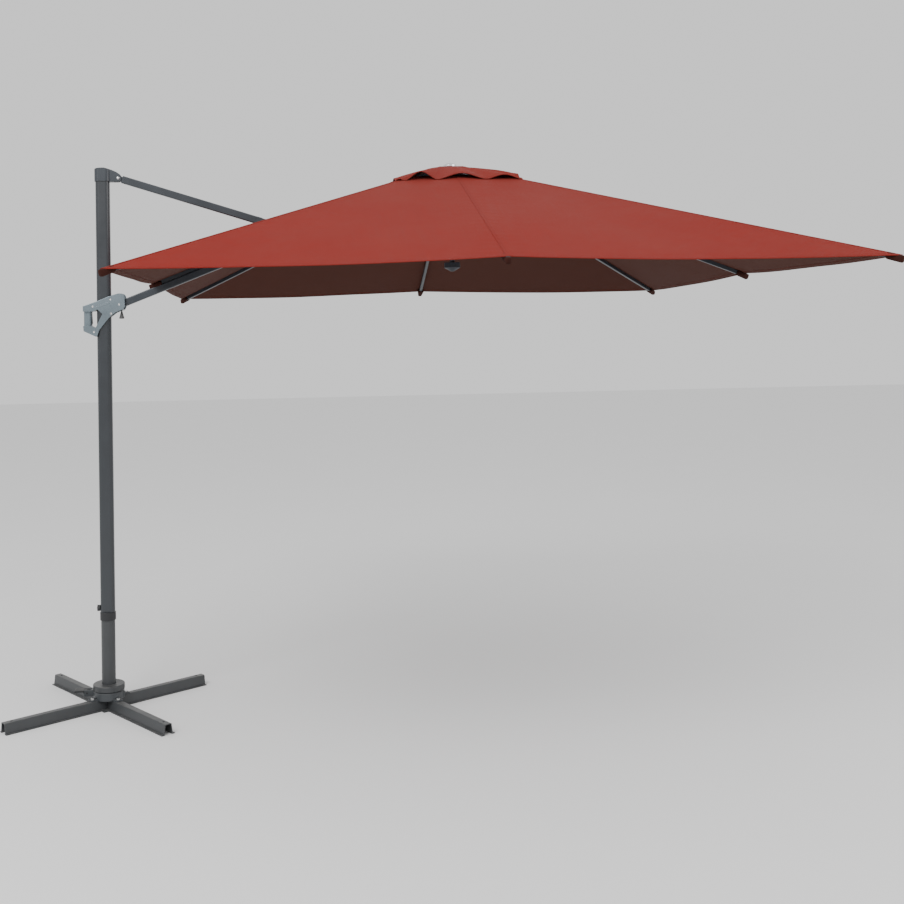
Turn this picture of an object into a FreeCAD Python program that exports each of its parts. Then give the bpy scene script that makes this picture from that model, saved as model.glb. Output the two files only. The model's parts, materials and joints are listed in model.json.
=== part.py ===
"""Cantilever patio umbrella on a steel cross base, as separate parts in one frame.

The origin is on the ground under the mast, +Z is up and the arm reaches along +X.
All dimensions are in millimetres.
"""

import FreeCAD, Part
import math
import os

V = FreeCAD.Vector
ORIGIN = V(0, 0, 0)
X_AXIS = V(1, 0, 0)
Y_AXIS = V(0, 1, 0)
Z_AXIS = V(0, 0, 1)

# Canopy frame
CANOPY_HALF = 1500.0  # half side of the square canopy
OVERHANG = 1742.0  # mast axis to canopy axis
RIB_PIVOT_R = 55.0  # rib pivots from the canopy axis
RIB_PIVOT_Z = 2622.0  # height of the rib pivots
MID_SLOPE = 21.0  # fall of the ribs to the mid sides, degrees
CORNER_SLOPE = 15.6  # fall of the ribs to the corners, degrees
RIB_WIDTH = 16.0
RIB_HEIGHT = 20.0
RIB_WALL = 1.2
RIB_TONGUE = 8.0  # thickness of the eye at a rib's inner end
RIB_TUBE_START = 16.0  # pivot to the start of the rib tube

# Stretchers and runner
STRETCHER = 210.0  # pivot to pivot, and rib pivot to clip pivot
CLIP_DROP = 17.0  # clip pivot below the axis of a mid rib
PIN_R = 3.0
POLE_R = 12.5
POLE_BOTTOM = 2130.0
POLE_CAP_R = 40.0

# Fabric
FABRIC = 0.8
VENT_HALF = 215.0  # half side of the vent opening
CAP_HALF = 312.0  # half side of the vent cap
CAP_TOP_R = 62.0
CAP_TOP_Z = 2640.0
CAP_LIFT = 26.0  # vent cap hem above the canopy
SLOT_BACK = 125.0  # arm slot, from the arm joint towards the mast
SLOT_FRONT = 160.0
SLOT_HALF = 30.0

# Arm
STRUT_SLOPE = 17.8
ARM_PIVOT_X = 79.0  # strut and boom pivots from the mast axis
STRUT_PIVOT_Z = 2605.0
ARM_WIDTH = 30.0
ARM_HEIGHT = 36.0
ARM_WALL = 2.5
RAIL_SPACING = ARM_HEIGHT / 2 + RIB_HEIGHT / 2  # rail rib axis above boom axis
FORK_PLATE = 4.0
SADDLE_WALL = 3.0
FORK_REACH = 222.0  # arm joint to the end of the strut tube
HUB_PIVOT_R = 75.0  # boom pivot from the canopy axis
HUB_TONGUE = 20.0
ARM_PIN_R = 5.0

# Mast
MAST_X = 70.0
MAST_Y = 50.0
MAST_CORNER = 20.0
MAST_WALL = 2.5
MAST_BOTTOM = 446.0
MAST_TOP = 2625.0
STUB_R = 34.0
STUB_WALL = 3.0
COLLAR_R = 38.5
COLLAR_BOTTOM = 427.0
COLLAR_TOP = 466.0
SLEEVE_WALL = 3.0
LOCK_KNOB_Z = 485.0

# Slider bracket
BRACKET_PIVOT_Z = 1974.7546  # boom pivot in the heights that the bracket is drawn in
SHELL_INNER = 27.3  # half width between the two side shells
SHELL_WALL = 7.0
CASING_RISE = 2.0  # raised casing over the boom pivot
LINER_WALL = 3.5
LINER_BOTTOM = 1810.0
LINER_TOP = 2022.0
TRIGGER_X = -71.0  # trigger pivot
TRIGGER_Z = 1938.0
BRAKE_Z = 1848.0
BRAKE_R = 4.0
BRAKE_LENGTH = 24.0
KNOB_X = 86.0  # arm lock knob

# Base
BEAM_TOP = 50.0
BEAM_WIDTH = 36.0  # at the top of the hat section
BEAM_FLARE = 6.0  # widening of each side towards the foot
BEAM_FLANGE = 11.0
BEAM_WALL = 4.0
BEAM_HALF = 545.0
BEAM_ANGLE = 38.0  # first beam from +X, degrees
ANCHOR_R = 505.0
ANCHOR_HOLE_R = 6.0
PLATE_HALF = 60.0
PLATE_THICK = 5.0
HOUSING_R = 75.0
HOUSING_TOP = BEAM_TOP + 42.0
HOUSING_BORE = 30.0
BOLT_RING = 90.0
BOLT_R = 5.0
TURRET_R = 77.0
TURRET_BOTTOM = HOUSING_TOP + 0.4
TURRET_TOP = TURRET_BOTTOM + 25.6
TURRET_SEAT = TURRET_TOP - 8.0  # foot of the lower tube in the turret
SPINDLE_R = 29.95
SPINDLE_BOTTOM = BEAM_TOP + 8.0
PEDAL_X = -104.0  # pedal pivot
PEDAL_Z = BEAM_TOP + 28.0
PEDAL_PIN_R = 4.0

# Clearances
RUNNING = 0.05  # radial, pin in eye
SLIDE = 0.3  # liner on mast
SIDE = 0.3  # between cheeks that turn past each other

MID_TAN = math.tan(math.radians(MID_SLOPE))
STRUT_TAN = math.tan(math.radians(STRUT_SLOPE))
DROP_ANGLE = MID_SLOPE + math.degrees(math.asin(CLIP_DROP / STRETCHER))


def boom_height(x):
    """Height of the boom axis at x."""
    start = RIB_PIVOT_Z - RAIL_SPACING / math.cos(math.radians(MID_SLOPE))
    return start - (OVERHANG - RIB_PIVOT_R - x) * MID_TAN


STRUT_PIVOT = V(ARM_PIVOT_X, 0, STRUT_PIVOT_Z)
BOOM_PIVOT = V(ARM_PIVOT_X, 0, boom_height(ARM_PIVOT_X))
BRACKET_PIVOT = V(ARM_PIVOT_X, 0, BRACKET_PIVOT_Z)
JOINT_X = (STRUT_PIVOT_Z + ARM_PIVOT_X * STRUT_TAN - boom_height(0)) / (MID_TAN + STRUT_TAN)
JOINT = V(JOINT_X, 0, (STRUT_PIVOT_Z + BOOM_PIVOT.z) / 2)
JOINT_DROP = (boom_height(JOINT_X) - JOINT.z) * math.cos(math.radians(MID_SLOPE))
HUB_PIVOT = V(OVERHANG - HUB_PIVOT_R, 0, boom_height(OVERHANG - HUB_PIVOT_R))

MID_AZIMUTHS = {"far": 90, "outer": 0, "near": 270}
CORNER_AZIMUTHS = {"far_outer": 45, "far_inner": 135, "near_inner": 225, "near_outer": 315}


def block(x0, x1, y0, y1, z0, z1):
    """Box between two corners."""
    return Part.makeBox(x1 - x0, y1 - y0, z1 - z0, V(x0, y0, z0))


def rod(centre, axis, radius, length):
    """Cylinder centred on a point."""
    direction = V(axis)
    direction.normalize()
    return Part.makeCylinder(radius, length, centre - direction * (length / 2), direction)


def disc(radius, z0, z1, x=0.0, y=0.0):
    """Upright cylinder between two heights."""
    return Part.makeCylinder(radius, z1 - z0, V(x, y, z0))


def bar(x0, x1, width, height, corner=0.0):
    """Solid bar along X with rounded long edges."""
    solid = block(x0, x1, -width / 2, width / 2, -height / 2, height / 2)
    if corner <= 0:
        return solid
    long_edges = [e for e in solid.Edges if abs(e.Vertexes[0].X - e.Vertexes[1].X) > 1]
    return solid.makeFillet(corner, long_edges)


def tube(x0, x1, width, height, wall, corner):
    """Hollow bar along X."""
    inner = bar(x0, x1, width - 2 * wall, height - 2 * wall, max(corner - wall, 0.4))
    return bar(x0, x1, width, height, corner).cut(inner)


def upright(x_size, y_size, corner, z0, z1):
    """Upright solid with a rounded rectangular section."""
    solid = block(-x_size / 2, x_size / 2, -y_size / 2, y_size / 2, z0, z1)
    edges = [e for e in solid.Edges if abs(e.Vertexes[0].Z - e.Vertexes[1].Z) > 1]
    return solid.makeFillet(corner, edges)


def place(shape, slope, azimuth, origin):
    """Turns a part built along +X down by a slope, round by an azimuth, and moves it."""
    moved = shape.copy()
    moved.rotate(ORIGIN, Y_AXIS, slope)
    moved.rotate(ORIGIN, Z_AXIS, azimuth)
    moved.translate(origin)
    return moved


def around(radius, azimuth, z):
    """Point at a radius and azimuth round the canopy axis."""
    a = math.radians(azimuth)
    return V(OVERHANG + radius * math.cos(a), radius * math.sin(a), z)


def join(shapes):
    """One solid from parts that touch."""
    solid = shapes[0]
    for other in shapes[1:]:
        solid = solid.fuse(other)
    return solid.removeSplitter()


def plate_xz(points, y0, y1):
    """Flat plate from an outline in the XZ plane."""
    corners = [V(x, y0, z) for x, z in points]
    face = Part.Face(Part.makePolygon(corners + corners[:1]))
    return face.extrude(V(0, y1 - y0, 0))


def export(name, shape):
    """Writes one part."""
    shape.exportStep("parts/" + name + ".step")


def eye(radius, thickness, reach):
    """Rounded tongue along +X with its eye at the origin."""
    tongue = block(0, reach, -thickness / 2, thickness / 2, -radius, radius)
    return tongue.fuse(rod(ORIGIN, Y_AXIS, radius, thickness))


def make_rib(slope, length):
    """Rib along +X from its pivot, with its eye, clip and end plug."""
    drop = STRETCHER * math.sin(math.radians(DROP_ANGLE - slope))
    along = STRETCHER * math.cos(math.radians(DROP_ANGLE - slope))
    plug = RIB_WIDTH - 2 * RIB_WALL
    pieces = [
        tube(RIB_TUBE_START, length, RIB_WIDTH, RIB_HEIGHT, RIB_WALL, 2.0),
        eye(8.0, RIB_TONGUE, RIB_TUBE_START + 20),
        bar(RIB_TUBE_START, RIB_TUBE_START + 24, plug, RIB_HEIGHT - 2 * RIB_WALL),
        bar(length - 30, length, plug, RIB_HEIGHT - 2 * RIB_WALL),
        bar(length, length + 5, RIB_WIDTH + 2, RIB_HEIGHT + 1, 3.0),
        block(along - 12, along + 12, -RIB_WIDTH / 2, RIB_WIDTH / 2, -drop, -RIB_HEIGHT / 2 + 0.6),
        rod(V(along, 0, -drop), Y_AXIS, 8.0, RIB_WIDTH),
    ]
    rib = join(pieces)
    rib = rib.cut(block(along - 14, along + 14, -9, 9, -drop - 9, -drop).cut(
        rod(V(along, 0, -drop), Y_AXIS, 8.0, 20)))
    rib = rib.cut(rod(ORIGIN, Y_AXIS, PIN_R + RUNNING, 30))
    return rib.cut(rod(V(along, 0, -drop), Y_AXIS, PIN_R + RUNNING, 30))


def make_stretcher():
    """Stretcher along +X from its clip pivot to its runner pivot."""
    inner = RIB_WIDTH / 2 + SIDE
    outer = inner + 3.0
    pieces = [bar(34, STRETCHER - 20, 10, 8, 1.5)]
    pieces.append(block(28, 40, -outer, outer, -5, 5))
    for side in (-1, 1):
        cheek = eye(7.0, 3.0, 34.0)
        cheek.translate(V(0, side * (inner + 1.5), 0))
        pieces.append(cheek)
    tip = eye(7.0, RIB_TONGUE, 24.0)
    tip.rotate(ORIGIN, Z_AXIS, 180)
    tip.translate(V(STRETCHER, 0, 0))
    tip = tip.cut(rod(V(STRETCHER, 0, 0), Y_AXIS, PIN_R + RUNNING, 30))
    pieces.append(tip)
    pieces.append(rod(ORIGIN, Y_AXIS, PIN_R, 2 * outer))
    return join(pieces)


def lug_pair(height, reach, gap, wall):
    """Two cheeks along X whose eyes sit at the origin and whose roots reach back."""
    cheeks = []
    for side in (-1, 1):
        cheek = eye(height, wall, reach)
        cheek.rotate(ORIGIN, Z_AXIS, 180)
        cheek.translate(V(0, side * (gap + wall / 2), 0))
        cheeks.append(cheek)
    return cheeks


def canopy_shell(half_mid, inner, lift_mid, lift_corner, thickness):
    """Fabric between an inner and an outer square, folded along the eight ribs."""
    rings = []
    for half in (inner, half_mid):
        ring = []
        for k in range(8):
            azimuth = 45.0 * k
            corner = k % 2 == 1
            radius = half * math.sqrt(2) if corner else half
            slope = CORNER_SLOPE if corner else MID_SLOPE
            lift = lift_corner if corner else lift_mid
            rise = RIB_HEIGHT / 2 / math.cos(math.radians(slope)) + lift
            z = RIB_PIVOT_Z + rise - (radius - RIB_PIVOT_R) * math.tan(math.radians(slope))
            ring.append(around(radius, azimuth, z))
        rings.append(ring)
    return folded_ring(rings, thickness)


def folded_ring(rings, thickness):
    """Closed thin solid over two rings of eight points."""
    up = V(0, 0, thickness)
    faces = []
    for k in range(8):
        n = (k + 1) % 8
        a, b = rings[0][k], rings[0][n]
        c, d = rings[1][n], rings[1][k]
        if k % 2 == 0:
            triangles = [(a, c, b), (a, d, c)]
        else:
            triangles = [(a, d, b), (b, d, c)]
        for p, q, r in triangles:
            faces.append(Part.Face(Part.makePolygon([p, q, r, p])))
            faces.append(Part.Face(Part.makePolygon([p + up, q + up, r + up, p + up])))
        for p, q in ((a, b), (d, c)):
            faces.append(Part.Face(Part.makePolygon([p, q, q + up, p + up, p])))
    shell = Part.Shell(faces)
    shell.sewShape()
    solid = Part.Solid(shell)
    if solid.Volume < 0:
        solid.reverse()
    return solid


def build_canopy_frame():
    """Hub, ribs, stretchers, runner, pole, fabric and finial."""
    mid_length = (CANOPY_HALF - RIB_PIVOT_R) / math.cos(math.radians(MID_SLOPE))
    corner_r = CANOPY_HALF * math.sqrt(2)
    corner_length = (corner_r - RIB_PIVOT_R) / math.cos(math.radians(CORNER_SLOPE))
    ribs = {MID_SLOPE: make_rib(MID_SLOPE, mid_length)}
    ribs[CORNER_SLOPE] = make_rib(CORNER_SLOPE, corner_length)
    stretcher = make_stretcher()
    clip_r = RIB_PIVOT_R + STRETCHER * math.cos(math.radians(DROP_ANGLE))
    clip_z = RIB_PIVOT_Z - STRETCHER * math.sin(math.radians(DROP_ANGLE))
    runner_z = 2 * clip_z - RIB_PIVOT_Z
    hub = [disc(40.0, RIB_PIVOT_Z - 46, RIB_PIVOT_Z + 8, OVERHANG)]
    runner = [disc(30.0, runner_z - 14, runner_z + 14, OVERHANG)]
    pins = []
    gap = RIB_TONGUE / 2 + SIDE
    spokes = [(n, a, MID_SLOPE) for n, a in MID_AZIMUTHS.items()]
    spokes += [(n, a, CORNER_SLOPE) for n, a in CORNER_AZIMUTHS.items()]
    for name, azimuth, slope in spokes:
        pivot = around(RIB_PIVOT_R, azimuth, RIB_PIVOT_Z)
        export("rib_" + name, place(ribs[slope], slope, azimuth, pivot))
        clip = around(clip_r, azimuth, clip_z)
        export("stretcher_" + name, place(stretcher, DROP_ANGLE, azimuth + 180, clip))
        tangent = V(-math.sin(math.radians(azimuth)), math.cos(math.radians(azimuth)), 0)
        lower = around(RIB_PIVOT_R, azimuth, runner_z)
        for cheek in lug_pair(8.0, 22.0, gap, 3.6):
            lug = cheek.cut(rod(ORIGIN, Y_AXIS, PIN_R, 40))
            hub.append(place(lug, 0, azimuth, pivot))
        for cheek in lug_pair(8.0, 30.0, gap, 3.6):
            runner.append(place(cheek, 0, azimuth, lower))
        pins.append(rod(pivot, tangent, PIN_R, 2 * (gap + 3.6) + 3))
        runner.append(rod(lower, tangent, PIN_R, 2 * gap + 5))
    arm_lug = block(-HUB_PIVOT_R, -30, -HUB_TONGUE / 2, HUB_TONGUE / 2, -12, 12)
    arm_lug = arm_lug.fuse(rod(V(-HUB_PIVOT_R, 0, 0), Y_AXIS, 12, HUB_TONGUE))
    arm_lug.translate(V(OVERHANG, 0, HUB_PIVOT.z))
    hub.append(arm_lug)
    casting = join(hub).cut(rod(HUB_PIVOT, Y_AXIS, ARM_PIN_R + RUNNING, 60))
    casting = casting.cut(disc(POLE_R, RIB_PIVOT_Z - 60, RIB_PIVOT_Z - 8, OVERHANG))
    casting = casting.cut(disc(4.0, RIB_PIVOT_Z - 10, RIB_PIVOT_Z + 30, OVERHANG))
    export("hub", casting)
    export("hub_pins", Part.makeCompound(pins))
    export("runner", join(runner).cut(disc(POLE_R + SLIDE, runner_z - 30, runner_z + 30, OVERHANG)))
    pole = disc(POLE_R, POLE_BOTTOM, RIB_PIVOT_Z - 8, OVERHANG)
    export("centre_pole", pole.cut(disc(POLE_R - 2, POLE_BOTTOM, RIB_PIVOT_Z - 8, OVERHANG)))
    cap = disc(POLE_CAP_R, POLE_BOTTOM, POLE_BOTTOM + 26, OVERHANG)
    cap = cap.fuse(Part.makeCone(8, POLE_CAP_R, 18, V(OVERHANG, 0, POLE_BOTTOM - 18)))
    cap = cap.removeSplitter().cut(disc(POLE_R, POLE_BOTTOM, POLE_BOTTOM + 40, OVERHANG))
    export("pole_cap", cap)
    build_fabric()


def build_fabric():
    """Canopy with its vent opening and arm slot, the vent cap and the finial."""
    canopy = canopy_shell(CANOPY_HALF + 4, VENT_HALF, 0.6, 3.2, FABRIC)
    slot = block(-SLOT_BACK, SLOT_FRONT, -SLOT_HALF, SLOT_HALF, 0, 160)
    export("canopy", canopy.cut(place(slot, -MID_SLOPE, 0, JOINT)))
    top = []
    hem = []
    for k in range(8):
        corner = k % 2 == 1
        radius = CAP_HALF * math.sqrt(2) if corner else CAP_HALF
        slope = CORNER_SLOPE if corner else MID_SLOPE
        lift = 6.0 if corner else CAP_LIFT
        z = RIB_PIVOT_Z + 14 + lift - (radius - RIB_PIVOT_R) * math.tan(math.radians(slope))
        hem.append(around(radius, 45 * k, z))
        top.append(around(CAP_TOP_R, 45 * k, CAP_TOP_Z))
    lid = Part.Face(Part.makePolygon(top + top[:1])).extrude(V(0, 0, FABRIC))
    cap = folded_ring([top, hem], FABRIC).fuse(lid)
    cap = cap.removeSplitter().cut(disc(4.0, CAP_TOP_Z - 5, CAP_TOP_Z + 5, OVERHANG))
    export("vent_cap", cap)
    knob = disc(33.0, CAP_TOP_Z + FABRIC, CAP_TOP_Z + 10, OVERHANG)
    knob = knob.fuse(Part.makeCone(33, 20, 8, V(OVERHANG, 0, CAP_TOP_Z + 10)))
    stem = disc(4.0, RIB_PIVOT_Z - 4, CAP_TOP_Z + 2, OVERHANG)
    seat = disc(14.0, RIB_PIVOT_Z + 8, CAP_TOP_Z, OVERHANG)
    export("finial", join([knob, stem, seat]))


def fitting(spigot, eye_radius, eye_width, start, side):
    """Solid end of an arm tube with an eye at the origin and a spigot in the tube."""
    inner_w = ARM_WIDTH - 2 * ARM_WALL
    inner_h = ARM_HEIGHT - 2 * ARM_WALL
    pieces = [
        eye(eye_radius, eye_width, start + 2),
        bar(start, start + 14, ARM_WIDTH, ARM_HEIGHT, 5.0),
        bar(start + 8, start + 14 + spigot, inner_w, inner_h, 2.5),
    ]
    solid = join(pieces)
    return solid.rotated(ORIGIN, Z_AXIS, side) if side else solid


def build_arm():
    """Strut, boom, rail rib and the pins between them."""
    slope_up = -MID_SLOPE
    reach = (JOINT.x - ARM_PIVOT_X) / math.cos(math.radians(STRUT_SLOPE))
    head_start = 20.0
    tube_end = reach - FORK_REACH
    strut = tube(head_start + 14, tube_end, ARM_WIDTH, ARM_HEIGHT, ARM_WALL, 5.0)
    export("strut_tube", place(strut, STRUT_SLOPE, 0, STRUT_PIVOT))
    head = fitting(40, 12.0, HUB_TONGUE, head_start, 0)
    head = head.cut(rod(ORIGIN, Y_AXIS, ARM_PIN_R + RUNNING, 60))
    export("strut_head", place(head, STRUT_SLOPE, 0, STRUT_PIVOT))
    strut_mid = boom_height(JOINT.x)
    drop = (strut_mid - JOINT.z) * math.cos(math.radians(STRUT_SLOPE))
    shift = (strut_mid - JOINT.z) * math.sin(math.radians(STRUT_SLOPE))
    eye_x = reach + shift
    cheek_in = ARM_WIDTH / 2 + SADDLE_WALL + SIDE
    cheek_out = cheek_in + FORK_PLATE
    crown = bar(tube_end, tube_end + 26, 2 * cheek_out, ARM_HEIGHT, 5.0)
    spigot = bar(tube_end - 50, tube_end + 4, ARM_WIDTH - 2 * ARM_WALL, ARM_HEIGHT - 2 * ARM_WALL, 2.5)
    pieces = [crown, spigot]
    outline = [
        (tube_end + 14, ARM_HEIGHT / 2 - 2),
        (eye_x - 60, ARM_HEIGHT / 2 - 2),
        (eye_x + 12, -drop + 6),
        (eye_x + 8, -drop - 10),
        (eye_x - 12, -drop - 11),
        (eye_x - 70, -ARM_HEIGHT / 2 + 2),
        (tube_end + 14, -ARM_HEIGHT / 2 + 2),
    ]
    for side in (-1, 1):
        low, high = sorted((side * cheek_in, side * cheek_out))
        pieces.append(plate_xz(outline, low, high))
        middle = side * (cheek_in + cheek_out) / 2
        pieces.append(rod(V(eye_x, middle, -drop), Y_AXIS, 13.0, FORK_PLATE))
    fork = join(pieces).cut(rod(V(eye_x, 0, -drop), Y_AXIS, ARM_PIN_R, 80))
    export("strut_fork", place(fork, STRUT_SLOPE, 0, STRUT_PIVOT))
    export("arm_pin", rod(JOINT, Y_AXIS, ARM_PIN_R, 2 * cheek_out + 6))

    boom_length = (HUB_PIVOT.x - ARM_PIVOT_X) / math.cos(math.radians(MID_SLOPE))
    root_start = 24.0
    boom = tube(root_start + 14, boom_length - 34, ARM_WIDTH, ARM_HEIGHT, ARM_WALL, 5.0)
    export("boom_tube", place(boom, slope_up, 0, BOOM_PIVOT))
    root = fitting(50, 15.0, ARM_WIDTH, root_start, 0)
    root = root.cut(rod(ORIGIN, Y_AXIS, ARM_PIN_R + RUNNING, 60))
    export("boom_root", place(root, slope_up, 0, BOOM_PIVOT))
    inner = HUB_TONGUE / 2 + SIDE
    end = [
        bar(boom_length - 80, boom_length - 28, ARM_WIDTH - 2 * ARM_WALL, ARM_HEIGHT - 2 * ARM_WALL, 2.5),
        bar(boom_length - 34, boom_length - 18, ARM_WIDTH, ARM_HEIGHT, 5.0),
    ]
    for side in (-1, 1):
        low, high = sorted((side * inner, side * ARM_WIDTH / 2))
        end.append(block(boom_length - 24, boom_length, low, high, -12, 12))
        middle = side * (inner + ARM_WIDTH / 2) / 2
        end.append(rod(V(boom_length, middle, 0), Y_AXIS, 12.0, ARM_WIDTH / 2 - inner))
    yoke = join(end).cut(rod(V(boom_length, 0, 0), Y_AXIS, ARM_PIN_R, 60))
    export("boom_yoke", place(yoke, slope_up, 0, BOOM_PIVOT))
    export("hub_pin", rod(HUB_PIVOT, Y_AXIS, ARM_PIN_R, ARM_WIDTH + 6))
    build_rail_and_saddle(boom_length)


def build_rail_and_saddle(boom_length):
    """Rib fixed on top of the boom, and the saddle that carries the arm joint."""
    joint_along = (JOINT.x - ARM_PIVOT_X) / math.cos(math.radians(MID_SLOPE))
    joint_along -= JOINT_DROP * MID_TAN
    pivot_along = boom_length + (HUB_PIVOT_R - RIB_PIVOT_R) / math.cos(math.radians(MID_SLOPE))
    pivot_along += RAIL_SPACING * MID_TAN
    tip = pivot_along - (CANOPY_HALF - RIB_PIVOT_R) / math.cos(math.radians(MID_SLOPE))
    rail = [tube(tip, boom_length - 30, RIB_WIDTH, RIB_HEIGHT, RIB_WALL, 2.0)]
    plug = RIB_WIDTH - 2 * RIB_WALL
    rail.append(bar(tip, tip + 30, plug, RIB_HEIGHT - 2 * RIB_WALL))
    rail.append(bar(tip - 5, tip, RIB_WIDTH + 2, RIB_HEIGHT - 1, 3.0))
    rail = join(rail)
    rail.translate(V(0, 0, RAIL_SPACING))
    export("rib_rail", place(rail, -MID_SLOPE, 0, BOOM_PIVOT))
    outer = ARM_WIDTH / 2 + SADDLE_WALL
    floor_z = -ARM_HEIGHT / 2
    low = -JOINT_DROP - 10
    saddle = block(-45, 45, -outer, outer, low, 8).cut(bar(-60, 60, ARM_WIDTH, ARM_HEIGHT))
    saddle = saddle.cut(block(-60, 60, -outer + 8, outer - 8, low - 1, floor_z - 2))
    saddle = saddle.cut(block(-60, -13, -outer - 1, outer + 1, low - 1, floor_z - SADDLE_WALL))
    saddle = saddle.cut(block(13, 60, -outer - 1, outer + 1, low - 1, floor_z - SADDLE_WALL))
    saddle = saddle.cut(rod(V(0, 0, -JOINT_DROP), Y_AXIS, ARM_PIN_R + RUNNING, 60))
    saddle.translate(V(joint_along, 0, 0))
    export("boom_saddle", place(saddle, -MID_SLOPE, 0, BOOM_PIVOT))


def export_bracket(name, shape):
    """Lifts a bracket piece to the boom pivot and writes it."""
    shape.translate(V(0, 0, BOOM_PIVOT.z - BRACKET_PIVOT_Z))
    export(name, shape)


def build_slider():
    """Bracket that slides on the mast, with its D handle, trigger and brake pin."""
    outline = [
        (-100, 1970), (-39, 1990), (29, 2017), (74, 2030), (94, 2029), (103, 2020), (107, 2002),
        (107, 1968), (100, 1952), (59, 1936), (36, 1919), (23, 1904), (-20, 1850), (-31, 1818),
        (-38, 1818), (-97, 1846), (-99, 1870),
    ]
    opening = [
        (-112, 1943), (-58, 1943), (-43, 1945), (-29, 1953), (-4, 1930), (-39, 1859), (-73, 1872),
        (-112, 1872),
    ]
    casing = [
        (31, 2016), (74, 2028.5), (93, 2027.5), (101.5, 2019), (105.5, 2002), (105.5, 1969),
        (99, 1953.5), (60, 1938), (44, 1957), (34, 1976),
    ]
    ridge = [(-34, 1966), (26, 1987), (31, 1980), (-28, 1958)]
    outer = SHELL_INNER + SHELL_WALL
    casing_out = outer + CASING_RISE
    screw_places = ((36, 2001), (-51, 1967), (39, 1931), (-46, 1841))
    screws = []
    for name, side in (("front", -1), ("back", 1)):
        low, high = sorted((side * SHELL_INNER, side * outer))
        shell = plate_xz(outline, low, high)
        edges = [e for e in shell.Edges if all(abs(v.Y - side * outer) < 0.1 for v in e.Vertexes)]
        shell = shell.makeFillet(2.5, edges)
        for raised, rise in ((casing, CASING_RISE), (ridge, CASING_RISE / 2)):
            low, high = sorted((side * (outer - 1), side * (outer + rise)))
            shell = shell.fuse(plate_xz(raised, low, high))
        shell = shell.removeSplitter().cut(plate_xz(opening, -60, 60))
        for x, z in screw_places:
            shell = shell.cut(rod(V(x, side * outer, z), Y_AXIS, 5.2, 4.0))
            screws.append(rod(V(x, side * (outer - 0.75), z), Y_AXIS, 5.0, 2.5))
        shell = shell.cut(rod(BRACKET_PIVOT, Y_AXIS, ARM_PIN_R, 90))
        export_bracket("slider_shell_" + name, shell)
    export_bracket("slider_screws", Part.makeCompound(screws))
    export_bracket("root_pin", rod(BRACKET_PIVOT, Y_AXIS, ARM_PIN_R, 2 * casing_out - 1))
    build_liner(outline, opening)
    build_handle()
    stem = disc(4.0, 1918, 1958, KNOB_X, 0)
    knob = Part.makeCone(7.0, 12.5, 9, V(KNOB_X, 0, 1920), V(0, 0, -1))
    knob = knob.fuse(disc(12.5, 1905, 1911, KNOB_X, 0))
    bridge = block(76, 96, -SHELL_INNER, SHELL_INNER, 1947, 1955)
    bridge = bridge.cut(disc(4.0 + RUNNING, 1940, 1960, KNOB_X, 0))
    export_bracket("slider_bridge", bridge)
    export_bracket("arm_knob", join([stem, knob]))


def build_liner(outline, opening):
    """Liner that runs on the mast, cut back to the bracket's outline and opening."""
    half = MAST_X / 2 + LINER_WALL
    liner = block(-half, half, -SHELL_INNER, SHELL_INNER, LINER_BOTTOM, LINER_TOP)
    bore = upright(MAST_X + 2 * SLIDE, MAST_Y + 2 * SLIDE, MAST_CORNER, 1700, 2100)
    liner = liner.cut(bore).common(plate_xz(outline, -60, 60)).cut(plate_xz(opening, -60, 60))
    export_bracket("slider_liner", liner.cut(rod(V(-half, 0, BRAKE_Z), X_AXIS, BRAKE_R + RUNNING, 20)))


def build_handle():
    """Grip between the shells, with the trigger in its slot and the brake pin below."""
    inner = -MAST_X / 2 - LINER_WALL - 0.5
    top = [(-98, 1966), (inner, 1985), (inner, 1949), (-60, 1943), (-98, 1943)]
    foot = [(-98, 1872), (-60, 1872), (inner, 1861), (inner, 1823), (-94, 1848)]
    handle = upright(38, 44, 11, 1860, 1955)
    handle.translate(V(-79, 0, 0))
    pieces = [handle]
    for points in (top, foot):
        pieces.append(plate_xz(points, -SHELL_INNER, SHELL_INNER))
    grip = join(pieces)
    grip = grip.cut(block(-80, -55, -9, 9, 1876, 1946))
    grip = grip.cut(rod(V(-60, 0, BRAKE_Z), X_AXIS, BRAKE_R + RUNNING, 54))
    grip = grip.cut(rod(V(TRIGGER_X, 0, TRIGGER_Z), Y_AXIS, 2.5, 40))
    export_bracket("handle_grip", grip)
    lever = [(-77, 1943), (-65, 1943), (-60, 1936), (-57, 1884), (-62, 1879), (-67, 1884), (-71, 1932)]
    trigger = plate_xz(lever, -8.5, 8.5).fuse(rod(V(TRIGGER_X, 0, TRIGGER_Z), Y_AXIS, 2.45, 39))
    export_bracket("trigger", trigger.removeSplitter())
    middle = -MAST_X / 2 - 1 - BRAKE_LENGTH / 2
    export_bracket("brake_pin", rod(V(middle, 0, BRAKE_Z), X_AXIS, BRAKE_R, BRAKE_LENGTH))


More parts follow.
